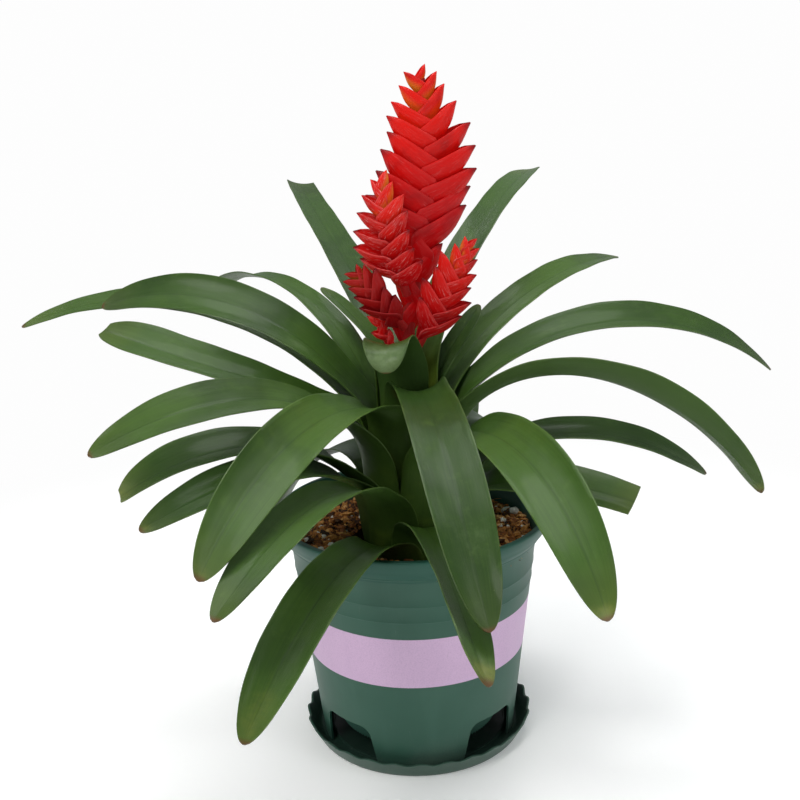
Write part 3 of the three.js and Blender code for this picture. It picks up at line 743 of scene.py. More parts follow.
def leafPiece(name, leaf, chance):
    rows, columns = blade["rows"], blade["columns"]
    fine = np.linspace(0, 1, blade["steps"] + 1)
    steps = leafFrames(leaf, (fine[1:] + fine[:-1]) / 2)[0] * leaf["length"] / blade["steps"]
    heading = math.radians(leaf["heading"])
    outward = np.array([math.cos(heading), math.sin(heading), 0])
    travelled = np.vstack([np.zeros(3), np.cumsum(steps, 0)]) + outward * leaf["nest"] + (0, 0, leaf["neck"])
    t = 1 - (1 - np.linspace(0, 1, rows)) ** 1.3
    centre = np.stack([np.interp(t, fine, travelled[:, i]) for i in range(3)], 1)
    _, across, inward = leafFrames(leaf, t)
    radius = blend(leaf["nest"], blade["channel"], smooth(t * leaf["length"] / blade["opening"]))
    half = leafHalfWidth(leaf, t, radius)
    # sheath below the neck, wrapped round the plant's axis
    share = np.linspace(0, 1, blade["sheathRows"] + 1)[:-1]
    footReach = blade["sheath"] * leaf["width"] / leaf["nest"]
    reaches = np.minimum((footReach, footReach * blade["belly"], half[0] / leaf["nest"]), blade["wrap"])
    sheathRadius = blend(footRadius(leaf), leaf["nest"], share)
    sheathCentre = np.outer(sheathRadius, outward) + np.outer(blend(blade["base"], leaf["neck"], share), (0, 0, 1))
    repeat = len(share)
    centre = np.vstack([sheathCentre, centre])
    across = np.vstack([np.tile([-math.sin(heading), math.cos(heading), 0], (repeat, 1)), across])
    inward = np.vstack([np.tile(-outward, (repeat, 1)), inward])
    radius = np.concatenate([sheathRadius, radius])
    half = np.concatenate([np.interp(share, (0, 0.5, 1), reaches) * sheathRadius, half])
    reach = np.concatenate([share - 1, t])
    length = np.concatenate([(share - 1) * (leaf["neck"] - blade["base"]), t * leaf["length"]])
    # one closed ring for each row
    u = 2 * np.arange(columns + 1) / columns - 1
    lift = blade["thickness"] / 2
    ring = [(k, lift) for k in u] + [(1.02, 0.0)] + [(k, -lift) for k in u[::-1]] + [(-1.02, 0.0)]
    ringU, ringOff = np.array(ring).T
    opened = smooth(reach / 0.25)[:, None]
    closing = smooth((1 - reach) / 0.1)[:, None]
    angle = (half / radius)[:, None] * ringU
    phase = chance.uniform(0, 6.28)
    crease = -blade["crease"] * np.exp(-(ringU / blade["creaseWidth"]) ** 2) * opened * closing
    long, short = blade["rippleLengths"]
    wave = np.sin(length[:, None] / long + phase + 1.7 * np.sign(ringU))
    wave = wave + 0.6 * np.sin(length[:, None] / short + 2 * phase)
    ripple = blade["ripple"] * np.abs(ringU) ** 3 * wave * opened * closing
    side = (radius[:, None] - ringOff) * np.sin(angle)
    rise = radius[:, None] * (1 - np.cos(angle)) + ringOff * np.cos(angle) + crease + ripple
    points = centre[:, None] + across[:, None] * side[..., None] + inward[:, None] * rise[..., None]
    points = points.reshape(-1, 3)
    flat = [np.broadcast_to(a, side.shape).ravel() for a in (ringU, reach[:, None], length[:, None])]
    marks = {"across": flat[0], "reach": flat[1], "length": flat[2] * mm}
    marks["under"] = np.broadcast_to(ringOff < -0.1, side.shape).ravel().astype(float)
    marks["tone"] = np.full(len(points), chance.uniform(-0.5, 0.5))
    marks.update({tint: np.zeros(len(points)) for tint in tintKinds})
    for tint, spot, place, sizeAlong, sizeAcross, strength in leafTints.get(name, []):
        stain = np.exp(-((flat[1] - spot) / sizeAlong) ** 2 - ((flat[0] - place) / sizeAcross) ** 2)
        marks[tint] = np.maximum(marks[tint], strength * stain)
    if leaf["end"] == "point":
        marks["brown"] = np.maximum(marks["brown"], 0.8 * smooth((flat[1] - 0.975) / 0.025))
    faces = turnOutward(points, stripFaces(len(centre), columns))
    title = pieceName(name)
    settle(makePiece(title, makeMesh(title, points, faces, marks), materials["leaf"]), "leaf_tissue", name)


chance = random.Random(7)
for leafName, leafValues in leaves.items():
    leafPiece(leafName, leafValues, chance)
print("leaves made:", len(leaves))


# ---- blooms: bracts set along each stalk in two ranks
bract = {
    "rows": 11,
    "columns": 10,
    "bow": 0.15,
    "side": 0.4,
    "footSide": 0.12,
    "widening": 1.1,
    "tipSide": 0.02,
    "hook": 0.1,
    "wall": 0.09,
    "grade": 2.5,
}
blooms = {
    "bloom_main": {
        "path": [(0, 0, 122.3), (0, 0, 190), (0, 0, 250), (4.5, 0, 276), (8, 0, 305), (12.5, 0, 330),
                 (14.3, 0, 350), (12.8, 0, 372), (11, 0, 394)],
        "radius": (5.4, 3), "flush": 0.12, "ripe": 0.1,
        "bracts": {"span": (0.631, 0.982), "count": 17, "length": (42, 13), "depth": (8, 4.5), "lean": (37, 17),
                   "skew": 3, "turn": 10},
        "scape": {"span": (0.455, 0.6), "count": 4, "length": (34, 38), "depth": (5.8, 6.5), "lean": (12, 18),
                  "skew": 0, "turn": 4},
    },
    "bloom_left_upper": {
        "path": [(0.6, -6.8, 276), (-6.5, -15.5, 299), (-9.5, -17.5, 320), (-10.5, -16.5, 338.5)],
        "radius": (2.6, 1.6), "flush": 0.9, "ripe": 0.1,
        "bracts": {"span": (0.06, 0.88), "count": 13, "length": (28, 16), "depth": (5.5, 3.5), "lean": (44, 9),
                   "skew": 7, "turn": -30},
    },
    "bloom_left_lower": {
        "path": [(-1.8, -6.3, 257), (-8, -13.5, 267), (-15, -16, 277), (-23, -16, 287)],
        "radius": (2.6, 1.5), "flush": 0.1, "ripe": 0.7,
        "bracts": {"span": (0.06, 0.97), "count": 10, "length": (26, 12), "depth": (4.5, 3), "lean": (20, 14),
                   "skew": 8, "turn": 5},
    },
    "bloom_left_small": {
        "path": [(-5.6, -2.4, 242), (-11.5, -7, 251), (-16, -6, 260), (-20, -6, 267)],
        "radius": (2, 1.2), "flush": 0.8, "ripe": 0.0,
        "bracts": {"span": (0.15, 0.95), "count": 7, "length": (14, 8), "depth": (3, 2.2), "lean": (18, 6),
                   "skew": 0, "turn": 8},
    },
    "bloom_right": {
        "path": [(5.2, -3.9, 244), (12.5, -9, 258), (20, -11, 273), (27, -11, 287), (33.5, -11, 299)],
        "radius": (2.8, 1.6), "flush": 0.45, "ripe": 0.2,
        "bracts": {"span": (0.08, 0.97), "count": 13, "length": (28, 13), "depth": (4.5, 3), "lean": (29, 8),
                   "skew": 0, "turn": 10},
    },
}


# One bract, a unit long and a unit deep: a thin boat that bows outward along its keel.
def bractMesh():
    rows, columns = bract["rows"], bract["columns"]
    t = np.linspace(0, 1, rows)[:, None]
    u = 2 * np.arange(columns + 1) / columns - 1
    ringU = np.concatenate([u, [1], u[::-1], [-1]])
    inner = np.concatenate([0 * u, [0.5], 0 * u + 1, [0.5]])
    keel = bract["bow"] * np.sin(np.pi * t ** 1.3) + bract["hook"] * t ** 5
    width = np.minimum(bract["side"] * (1 - t ** 2.6) ** 0.9, bract["footSide"] + bract["widening"] * t)
    width = width + bract["tipSide"]
    swell = np.sin(np.pi * (0.06 + 0.94 * t)) ** 0.75 + 0.03
    open_ = np.abs(ringU)
    x = keel - width * (open_ ** 1.3 + bract["wall"] * inner * (1 - 0.7 * open_))
    y = swell * np.sign(ringU) * np.sin(open_ * np.pi / 2) ** 0.9 * (1 - bract["wall"] * inner)
    z = np.broadcast_to(t, x.shape)
    points = np.stack([x, y, z], 2).reshape(-1, 3) / mm
    marks = {"along": z.ravel(), "across": np.broadcast_to(ringU, x.shape).ravel()}
    return makeMesh("bractShape", points, turnOutward(points, stripFaces(rows, columns)), marks, 60)


# The even curve through the path's points, as a line of short edges.
def stalkLine(path):
    inside = [np.array(p, float) for p in path]
    knots = [2 * inside[0] - inside[1], *inside, 2 * inside[-1] - inside[-2]]
    points = [knots[1]]
    for a, b, c, d in zip(knots, knots[1:], knots[2:], knots[3:]):
        first, middle, last = [np.linalg.norm(q - p) ** 0.5 for p, q in ((a, b), (b, c), (c, d))]
        leave = ((b - a) / first - (c - a) / (first + middle) + (c - b) / middle) * middle
        arrive = ((c - b) / middle - (d - b) / (middle + last) + (d - c) / last) * middle
        for s in np.linspace(0, 1, 25)[1:]:
            bend, drift = 3 * (c - b) - 2 * leave - arrive, leave + arrive - 2 * (c - b)
            points.append(b + leave * s + bend * s ** 2 + drift * s ** 3)
    return makeLine("stalkLine", points)


def bloomTree():
    board, group = startTree("bractsOnStalk", {
        "Bract": "Object", "Count": 10, "First": 0.1, "Last": 0.97, "Length at Foot": 0.03, "Length at Top": 0.01,
        "Depth at Foot": 0.006, "Depth at Top": 0.004, "Lean at Foot": 0.8, "Lean at Top": 0.15, "Skew": 0.0,
        "Grade": 2.5, "Turn": 0.0, "Budding": 1.0, "Stalk at Foot": 0.004, "Stalk at Top": 0.002, "Flush": 0.2,
        "Ripe": 0.0, "Wander": 0.14, "Seed": 3, "Material": "Material"})
    pick = group.get
    stalk = board.add("GeometryNodeMeshToCurve", {}, {"Mesh": group})
    points = board.add("GeometryNodePoints", {}, {"Count": pick("Count")})
    index = board.add("GeometryNodeInputIndex")
    order = index / (pick("Count") - 1)
    shrink = order ** pick("Grade")

    def between(first, last, share):
        return pick(first) + (pick(last) - pick(first)) * share

    sample = board.add("GeometryNodeSampleCurve", {"mode": "FACTOR", "use_all_curves": True},
                       {"Curves": stalk, "Factor": between("First", "Last", order)}, "Position")
    points = board.add("GeometryNodeSetPosition", {}, {"Geometry": points, "Position": sample})
    up = sample.get("Tangent")
    drift = board.anyNumber(-1.0, 1.0, pick("Seed"), index)
    stray = board.anyNumber(-1.0, 1.0, pick("Seed") + 5, index)
    rank = board.value("MODULO", index, 2.0)
    angle = pick("Turn") + rank * math.pi + drift * pick("Wander")
    level = board.vector(board.value("COSINE", angle), board.value("SINE", angle))
    dot = board.add("ShaderNodeVectorMath", {"operation": "DOT_PRODUCT"}, {0: level, 1: up}, "Value")
    rising = board.add("ShaderNodeVectorMath", {"operation": "SCALE"}, {0: up, "Scale": dot})
    rotation = board.add("FunctionNodeAxesToRotation", {"primary_axis": "Z", "secondary_axis": "X"},
                         {0: up, 1: level - rising})
    lean = between("Lean at Foot", "Lean at Top", shrink) + (rank * 2 - 1) * pick("Skew") + stray * 0.06
    rotation = board.add("FunctionNodeRotateRotation", {"rotation_space": "LOCAL"},
                         {0: rotation, 1: board.turn(board.vector(y=lean))})
    long = between("Length at Foot", "Length at Top", shrink) * (1 + stray * 0.05)
    size = board.vector(long, between("Depth at Foot", "Depth at Top", shrink), long)
    for label, value in (("order", order * pick("Budding")), ("tone", drift), ("flush", pick("Flush")),
                         ("ripe", pick("Ripe"))):
        points = board.store(points, label, value)
    bracts = board.copies(points, pick("Bract"), rotation, size)
    ring = board.add("GeometryNodeCurvePrimitiveCircle", {"mode": "RADIUS"}, {"Resolution": 14, "Radius": 1.0})
    thick = between("Stalk at Foot", "Stalk at Top", board.add("GeometryNodeSplineParameter", {}, {}, "Factor"))
    tube = board.add("GeometryNodeCurveToMesh", {},
                     {"Curve": stalk, "Profile Curve": ring, "Scale": thick, "Fill Caps": True})
    tube = board.store(tube, "stalk", 1.0)
    both = board.add("GeometryNodeJoinGeometry", {}, {"Geometry": bracts})
    board.tree.links.new(tube.socket, both.socket.node.inputs[0])
    return finishTree(board, both, pick("Material"))


bractShape = makePiece("bractShape", bractMesh())
bractTree = bloomTree()


def growBloom(bloom, part, seed, stalked, budding):
    values = {
        "Bract": bractShape, "Count": part["count"], "First": part["span"][0], "Last": part["span"][1],
        "Skew": math.radians(part["skew"]), "Grade": bract["grade"], "Turn": math.radians(part["turn"]),
        "Flush": bloom["flush"], "Ripe": bloom["ripe"], "Budding": budding, "Seed": seed,
        "Material": materials["bract"]}
    lean = [math.radians(angle) for angle in part["lean"]]
    for label, ends, scale in (("Length", part["length"], mm), ("Depth", part["depth"], mm), ("Lean", lean, 1),
                               ("Stalk", bloom["radius"], mm * stalked)):
        values[label + " at Foot"], values[label + " at Top"] = ends[0] * scale, ends[1] * scale
    return growMesh(stalkLine(bloom["path"]), bractTree, values)


def joinMeshes(meshes):
    pieces = [makePiece("part", mesh) for mesh in meshes]
    with bpy.context.temp_override(active_object=pieces[0], selected_editable_objects=pieces):
        bpy.ops.object.join()
    whole = pieces[0].data
    bpy.data.objects.remove(pieces[0])
    return whole


for number, (bloomName, bloom) in enumerate(blooms.items()):
    grown = growBloom(bloom, bloom["bracts"], number, 1, 1.0)
    if "scape" in bloom:
        grown = joinMeshes([grown, growBloom(bloom, bloom["scape"], 20, 0.5, 0.0)])
    settle(makePiece(pieceName(bloomName), grown), "bract_tissue", bloomName)
bpy.data.objects.remove(bractShape)
print("blooms made:", len(blooms))


# ---- pot: a turned wall with four arches cut through its foot, and a sloping ribbed underside
pot = {
    "foot": 2.5,
    "footRadius": 59.7,
    "neckRadius": 73.8,
    "neckHeight": 126,
    "rimRadius": 82.5,
    "height": 144.5,
    "wall": 1.5,
    "floorRadius": 43,
    "floorHeight": 13,
    "skirtHeight": 35,
    "archFoot": 20.5,
    "archTop": 18,
    "archHeight": 26,
    "archCorner": 7,
    "archAngles": (45, 135, 225, 315),
    "sides": 176,
    "ledges": (103, 113),  # fine steps in the wall
    "ledgeShape": [(0, -0.5), (0.34, -0.1), (0.36, 0.5), (0.1, 1.1)],  # out from the wall and up
    "wallLevels": (8, 16, 30, 45, 59.8, 75, 92),
    # out and up from the neck, then from the rim's edge
    "flare": [(-0.2, -1.5), (0, 0), (0.35, 2), (0.5, 3), (1.3, 4.2), (2.3, 5.0), (3.0, 5.1), (3.1, 5.9),
              (4.0, 7), (4.9, 8.6), (5.3, 9.4), (6.1, 9.6), (6.4, 10.4), (7.1, 12.2)],
    "lip": [(-0.7, -4.6), (-0.25, -2.6), (0, -1.4), (-0.05, -0.7), (-0.35, -0.2), (-0.9, 0),
            (-2.9, 0), (-3.5, -0.2), (-3.9, -0.8), (-4.3, -2.2)],
    "throat": [(3.4, 12.4), (2.2, 10), (0.6, 7.6), (-0.4, 6), (-1.2, 3), (-1.5, 0)],
    "flareShift": 6.3,  # how far the middle of the wall moves out up to the rim
    "ribs": 132,
    "ribStart": (44.2, 13.8),
    "ribEnd": (58, 30.3),
    "ribDeep": 5.6,
    "ribWide": 1.3,
}

def wallRadius(z):
    return blend(pot["footRadius"], pot["neckRadius"], (z - pot["foot"]) / (pot["neckHeight"] - pot["foot"]))


def archCutter(angle):
    corner = pot["archCorner"]
    middle, straight = pot["archTop"] - corner, pot["archHeight"] - corner
    spare, lift = 0.4, 2  # how far the cutter reaches past what it cuts, and how high it stands
    levels = [(-3.0, pot["archFoot"] + spare), (0.0, pot["archFoot"])]
    levels += [(z, blend(pot["archFoot"], pot["archTop"], z / straight)) for z in (6.0, 12.0)]
    for step in range(9):
        bend = math.pi / 2 * step / 8
        levels.append((straight + corner * math.sin(bend), middle + corner * math.cos(bend)))
    columns, clear = 16, pot["wall"] + spare
    points = []
    for z, half in levels:
        for face in (1, -1):
            radius = wallRadius(z + lift) + clear * face
            for k in range(columns + 1):
                side = half * (2 * k / columns - 1) * face
                points.append((side, -math.sqrt(radius ** 2 - side ** 2), z + lift))
    count = 2 * (columns + 1)
    faces = ringFaces(count, len(levels))
    last = (len(levels) - 1) * count
    for k in range(columns):
        far = count - 1 - k
        faces.append((k + 1, k, far, far - 1))
        faces.append((last + k, last + k + 1, last + far - 1, last + far))
    turn = np.array(Matrix.Rotation(math.radians(angle), 3, "Z"))
    points = np.array(points) @ turn.T
    return points, turnOutward(points, faces)


def shifted(shape, radius, height):
    return [(radius + out, height + up) for out, up in shape]


def potProfile():
    foot, wall, low = pot["foot"], pot["wall"], pot["floorHeight"]
    footR, floorR, skirt = pot["footRadius"], pot["floorRadius"], pot["skirtHeight"]
    neck, rim = (pot["neckRadius"], pot["neckHeight"]), (pot["rimRadius"], pot["height"])
    under = wallRadius(skirt) - wall
    below = [(0, low), (floorR, low), (floorR + 1, low + 0.7)]
    below += [(blend(floorR, under, s), blend(low, skirt, s)) for s in (0.25, 0.5, 0.75)]
    below += [(under, skirt), (wallRadius(20) - wall, 20), (footR - wall, foot + 0.4), (footR - wall + 0.4, foot)]
    outer = [(footR - 0.5, foot), (footR - 0.1, foot + 0.15), (footR + 0.05, foot + 0.5)]
    outer += [(wallRadius(z), z) for z in pot["wallLevels"]]
    for z in pot["ledges"]:
        outer += shifted(pot["ledgeShape"], wallRadius(z), z)
    outer += shifted(pot["flare"], *neck) + shifted(pot["lip"], *rim)
    inner = shifted(pot["throat"], *neck) + [
        (wallRadius(80) - wall, 80), (under + 0.2, skirt + 2.2), (floorR + 1, low + 2), (0, low + 2)]
    return below + outer + inner


def cutBy(target, cutters):
    for cutter in cutters:
        cut = target.modifiers.new("arch", "BOOLEAN")
        cut.operation, cut.solver, cut.object = "DIFFERENCE", "EXACT", cutter
    graph = bpy.context.evaluated_depsgraph_get()
    cutMesh = bpy.data.meshes.new_from_object(target.evaluated_get(graph), depsgraph=graph)
    target.modifiers.clear()
    for cutter in cutters:
        bpy.data.objects.remove(cutter)
    return cutMesh


def potPiece():
    wall = makePiece("potPlastic", makeMesh("potPlastic", *turnedMesh(potProfile(), pot["sides"])))
    cutters = [makePiece("arch", makeMesh("arch", *archCutter(angle))) for angle in pot["archAngles"]]
    bpy.context.view_layer.update()
    wall.data = cutBy(wall, cutters)
    x, y, z = readPlaces(wall.data)
    flare = np.clip((z - pot["neckHeight"]) / (pot["height"] - pot["neckHeight"]), 0, 1)
    middle = wallRadius(z) - pot["wall"] / 2 + flare * pot["flareShift"]
    finishMesh(wall.data, 32, {"outer": np.hypot(x, y) > middle})
    wall.data.materials.clear()
    wall.data.materials.append(materials["pot"])
    settle(wall, "pot_plastic", "pot")


potPiece()
print("pot made")


# ribs hang from the sloping underside, repeated round the plant's axis by a tree
def ribMesh():
    start, end = np.array(pot["ribStart"]), np.array(pot["ribEnd"])
    slope = (end - start) / np.linalg.norm(end - start)
    out = np.array([slope[1], -slope[0]])
    across = ((-1, -0.3), (-0.6, 0.8), (0, 1), (0.6, 0.8), (1, -0.3))
    rows, count, points = 4, len(across), []
    for s in np.linspace(0, 1, rows):
        spot = start + (end - start) * s
        for side, deep in across:
            place = spot + out * deep * pot["ribDeep"] * (1 - 0.75 * s)
            points.append((place[0], side * pot["ribWide"] / 2, place[1]))
    points = np.array(points)
    faces = ringFaces(count, rows) + [(4, 3, 2, 1, 0), (15, 16, 17, 18, 19)]
    marks = {"outer": np.ones(len(points)), "rib": np.ones(len(points))}
    return makeMesh("ribShape", points, turnOutward(points, faces), marks)


def ribTree():
    board, group = startTree("ribsRoundAxis", {"Rib": "Object", "Count": 100, "Material": "Material"})
    pick = group.get
    points = board.add("GeometryNodePoints", {}, {"Count": pick("Count")})
    angle = board.add("GeometryNodeInputIndex") * (2 * math.pi) / pick("Count")
    ribs = board.copies(points, pick("Rib"), board.turn(board.vector(z=angle)))
    return finishTree(board, ribs, pick("Material"))


ribShape = makePiece("ribShape", ribMesh())
ribs = makePiece("potRibs", growMesh(bpy.data.meshes.new("empty"), ribTree(), {
    "Rib": ribShape, "Count": pot["ribs"], "Material": materials["pot"]}))
bpy.data.objects.remove(ribShape)
settle(ribs, "pot_plastic")
print("ribs made:", pot["ribs"])


# ---- saucer: a profile carried round a circle by a tree, which also waves its rim
saucer = {
    "baseRadius": 62.5,
    "footRadius": 64.6,
    "rimRadius": 69.8,
    "height": 11.3,
    "wall": 1.5,
    "floor": 2.2,
    "ringRadius": 53,
    "ringWidth": 2.4,
    "ringHeight": 1.4,
    "scallops": 28,
    "wave": 1.0,
    "sides": 336,
    "pathRadius": 60,
    "rise": 1.6,  # height at which the side begins
    "innerEdge": (1.2, 0.53),  # where the inside begins: in from the foot, and out for each mm up
}


def saucerProfile():
    base, foot, rim, high = saucer["baseRadius"], saucer["footRadius"], saucer["rimRadius"], saucer["height"]
    wall, low, ring, width = saucer["wall"], saucer["floor"], saucer["ringRadius"], saucer["ringWidth"]
    rise, crest = saucer["rise"], low + saucer["ringHeight"]
    outer = [(0, 0), (base - 6, 0), (base - 5.4, 0.4), (base - 3, 0.4), (base - 2.4, 0), (base - 0.3, 0),
             (base + 0.9, 0.35), (foot, rise)]
    outer += [(blend(foot, rim, s), blend(rise, high - 0.4, s)) for s in (0.25, 0.5, 0.75, 0.92)]
    outer += [(rim, high - 0.4), (rim - 0.15, high - 0.1), (rim - 0.5, high), (rim - wall + 0.4, high),
              (rim - wall, high - 0.3)]
    inner = [(blend(rim - wall, base - 0.6, s), blend(high - 0.3, low, s)) for s in (0.2, 0.45, 0.7, 0.93)]
    inner += [(base - 1.4, low), (ring + width + 0.5, low), (ring + width, low + 0.2),
              (ring + width - 0.3, crest - 0.2), (ring + width - 0.7, crest), (ring + 0.7, crest),
              (ring + 0.3, crest - 0.2), (ring, low + 0.2), (ring - 0.5, low), (30, low), (29.5, low + 0.5),
              (28.7, low + 0.5), (28.2, low), (0, low)]
    return outer + inner


def saucerTree():
    board, group = startTree("scallopedSaucer", {
        "Sides": 300, "Path Radius": 0.06, "Scallops": 28, "Wave": 0.001, "Foot Height": 0.0016,
        "Rim Height": 0.0113, "Rim Radius": 0.07, "Material": "Material"})
    pick = group.get
    line = board.add("GeometryNodeMeshToCurve", {}, {"Mesh": group})
    path = board.add("GeometryNodeCurvePrimitiveCircle", {"mode": "RADIUS"},
                     {"Resolution": pick("Sides"), "Radius": pick("Path Radius")})
    path = board.add("GeometryNodeSetCurveNormal", {"mode": "Z_UP"}, {"Curve": path})
    turned = board.add("GeometryNodeCurveToMesh", {}, {"Curve": path, "Profile Curve": line})
    turned = board.add("GeometryNodeMergeByDistance", {}, {"Geometry": turned, "Distance": 0.00001})
    parts = board.part(board.add("GeometryNodeInputPosition"), "X")
    angle = board.value("ARCTAN2", parts.get("Y"), parts)
    height = (parts.get("Z") - pick("Foot Height")) / (pick("Rim Height") - pick("Foot Height"))
    share = board.value("MAXIMUM", height, 0.0) ** 1.4
    wave = board.value("COSINE", angle * pick("Scallops")) * share
    out = wave * 0.6 * pick("Wave") / pick("Rim Radius")
    shift = board.vector(parts * out, parts.get("Y") * out, wave * pick("Wave"))
    waved = board.add("GeometryNodeSetPosition", {}, {"Geometry": turned, "Offset": shift})
    return finishTree(board, waved, pick("Material"))

def saucerPiece():
    line = makeLine("saucerLine", [(r - saucer["pathRadius"], -z, 0) for r, z in saucerProfile()])
    mesh = growMesh(line, saucerTree(), {
        "Sides": saucer["sides"], "Path Radius": saucer["pathRadius"] * mm, "Scallops": saucer["scallops"],
        "Wave": saucer["wave"] * mm, "Foot Height": saucer["rise"] * mm, "Rim Height": saucer["height"] * mm,
        "Rim Radius": saucer["rimRadius"] * mm, "Material": materials["saucer"]})
    x, y, z = readPlaces(mesh)
    print("saucer spans", x.min().round(1), x.max().round(1), z.min().round(2), z.max().round(2))
    # the inside of the saucer, which its material darkens: darker plastic with painted shade under the pot
    inset, slope = saucer["innerEdge"]
    inside = np.hypot(x, y) < saucer["footRadius"] - inset + (z - saucer["rise"]) * slope
    finishMesh(mesh, 38, {"inner": inside & (z > 1.0)})
    settle(makePiece("saucerPlastic", mesh), "saucer_plastic", "saucer")


saucerPiece()
print("saucer made")


# ---- soil: a lumpy bed, with bark chips, fibres and grains strewn on it by one tree
soil = {
    "top": 127.5,
    "holeRadius": 40,
    "holeFloor": 107.7,
    "relief": 1.3,
    "dip": 3.5,
    "aboveFloor": 2.3,
    "clear": 0.55,  # from the pot's wall
    "strewnEdges": (1.2, 1.6),  # past the hole's edge, and short of the pot's wall
    # what is strewn: how many to a square metre, how far apart, sizes in metres, tilt and lift
    "chips": {"density": 90000, "apart": 0.0018, "size": (0.0022, 0.0056), "seed": 4, "tilt": 0.6,
              "lift": 0.0008, "finish": "bark"},
    "crumbs": {"density": 420000, "apart": 0.0004, "size": (0.0007, 0.0017), "seed": 9, "tilt": 1.5,
               "lift": 0.0006, "finish": "bark"},
    "fibres": {"density": 60000, "apart": 0.0008, "size": (0.005, 0.013), "seed": 15, "tilt": 0.25,
               "lift": 0.0016, "finish": "bark"},
    "grains": {"density": 5200, "apart": 0.004, "size": (0.0012, 0.0026), "seed": 21, "tilt": 1.5,
               "lift": 0.0008, "finish": "perlite"},
    # larger white grains: angle round the pot, distance from its middle, size
    "largeGrains": [(25, 66, 3.8), (20.5, 68, 3.4), (9, 56, 2.0), (5, 53, 2.2), (1, 66, 2.0), (33, 60, 1.8),
                    (198, 52, 2.6), (206, 61, 2.2), (255, 53, 2.6), (277, 64, 1.8), (262, 57, 1.6), (150, 58, 2.2),
                    (98, 62, 2.6), (52, 57, 1.9), (20, 66, 1.6), (121, 66, 1.4), (333, 47, 1.6)],
}


def soilHeight(x, y, radius):
    lumps = np.sin(0.31 * x + 1) * np.cos(0.27 * y) + np.sin(0.55 * y - 0.4 * x)
    fine = 0.5 * np.sin(1.3 * x + 0.7 * y) * np.sin(1.1 * y - 0.5 * x)
    dip = soil["dip"] * (1 - smooth((radius - soil["holeRadius"]) / 9))
    return soil["top"] - dip + soil["relief"] * lumps + fine


def soilPiece():
    base, level = pot["floorHeight"] + soil["aboveFloor"], 127  # the top is marked by one level, then made lumpy
    side = wallRadius(soil["top"]) - pot["wall"] - soil["clear"]
    profile = [(0, base), (pot["floorRadius"] + 0.5, base),
               (wallRadius(pot["skirtHeight"]) - pot["wall"] - 0.5, pot["skirtHeight"] + 2.9), (side, soil["top"] - 4)]
    profile += [(radius, level) for radius in np.linspace(side - 0.05, soil["holeRadius"], 22)]
    profile += [(soil["holeRadius"], soil["holeFloor"]), (0, soil["holeFloor"])]
    points, faces = turnedMesh(profile, 150)
    radius = np.hypot(points[:, 0], points[:, 1])
    upper = np.abs(points[:, 2] - level) < 0.01
    points[upper, 2] = soilHeight(points[upper, 0], points[upper, 1], radius[upper])
    mesh = makeMesh("soilBed", points, faces, {"tone": np.full(len(points), 0.05)}, 70)
    settle(makePiece("soilBed", mesh, materials["bark"]), "bark_soil", "soil")


# The part of the bed's top on which things are strewn.
def strewnGround(inner, outer):
    rings, around, points = 14, 120, []
    for radius in np.linspace(inner, outer, rings):
        for k in range(around):
            angle = 2 * math.pi * k / around
            x, y = radius * math.cos(angle), radius * math.sin(angle)
            points.append((x, y, float(soilHeight(x, y, radius))))
    return makeMesh("ground", points, [(a, d, c, b) for a, b, c, d in ringFaces(around, rings)])


def strewTree():
    board, group = startTree("strewnOnGround", {
        "Shape": "Object", "Density": 1000.0, "Apart": 0.001, "Seed": 1, "Least": 0.001, "Most": 0.002,
        "Tilt": 0.5, "Lift": 0.0, "Material": "Material"})
    pick = group.get
    points = board.add("GeometryNodeDistributePointsOnFaces", {"distribute_method": "POISSON"}, {
        "Mesh": group, "Distance Min": pick("Apart"), "Density Max": pick("Density"), "Density Factor": 1.0,
        "Seed": pick("Seed")}, "Points")

    def anyNumber(low, high, offset):
        return board.anyNumber(low, high, pick("Seed") + offset)

    raised = board.vector(z=pick("Lift") * anyNumber(0.0, 1.0, 4))
    points = board.add("GeometryNodeSetPosition", {}, {"Geometry": points, "Offset": raised})
    points = board.store(points, "tone", anyNumber(0.0, 1.0, 1))
    tilt = pick("Tilt")
    turn = board.turn(board.vector(
        anyNumber(-1.0, 1.0, 2) * tilt, anyNumber(-1.0, 1.0, 3) * tilt, anyNumber(0.0, 6.283, 6)))
    long = anyNumber(pick("Least"), pick("Most"), 7)
    size = board.vector(long, long * anyNumber(0.55, 1.1, 8), long * anyNumber(0.6, 1.2, 9))
    return finishTree(board, board.copies(points, pick("Shape"), turn, size), pick("Material"))


def lumpMesh(name, stretch, rough, rings, around, seed):  # an uneven closed lump about a unit long
    chance = random.Random(seed)
    points = [(-stretch[0], 0, 0)]
    for r in range(1, rings):
        bend = math.pi * r / rings
        for k in range(around):
            angle = 2 * math.pi * (k + 0.5 * (r % 2)) / around
            wide = math.sin(bend) * (1 + chance.uniform(-rough, rough))
            points.append((-stretch[0] * math.cos(bend) * (1 + chance.uniform(-rough, rough) / 2),
                           stretch[1] * wide * math.cos(angle), stretch[2] * wide * math.sin(angle)))
    points.append((stretch[0], 0, 0))
    faces = [(0, 1 + (k + 1) % around, 1 + k) for k in range(around)] + ringFaces(around, rings - 1, 1)
    last, first = len(points) - 1, 1 + (rings - 2) * around
    faces += [(last, first + k, first + (k + 1) % around) for k in range(around)]
    points = np.array(points)
    return makeMesh(name, points / mm, turnOutward(points, faces), None, 35)


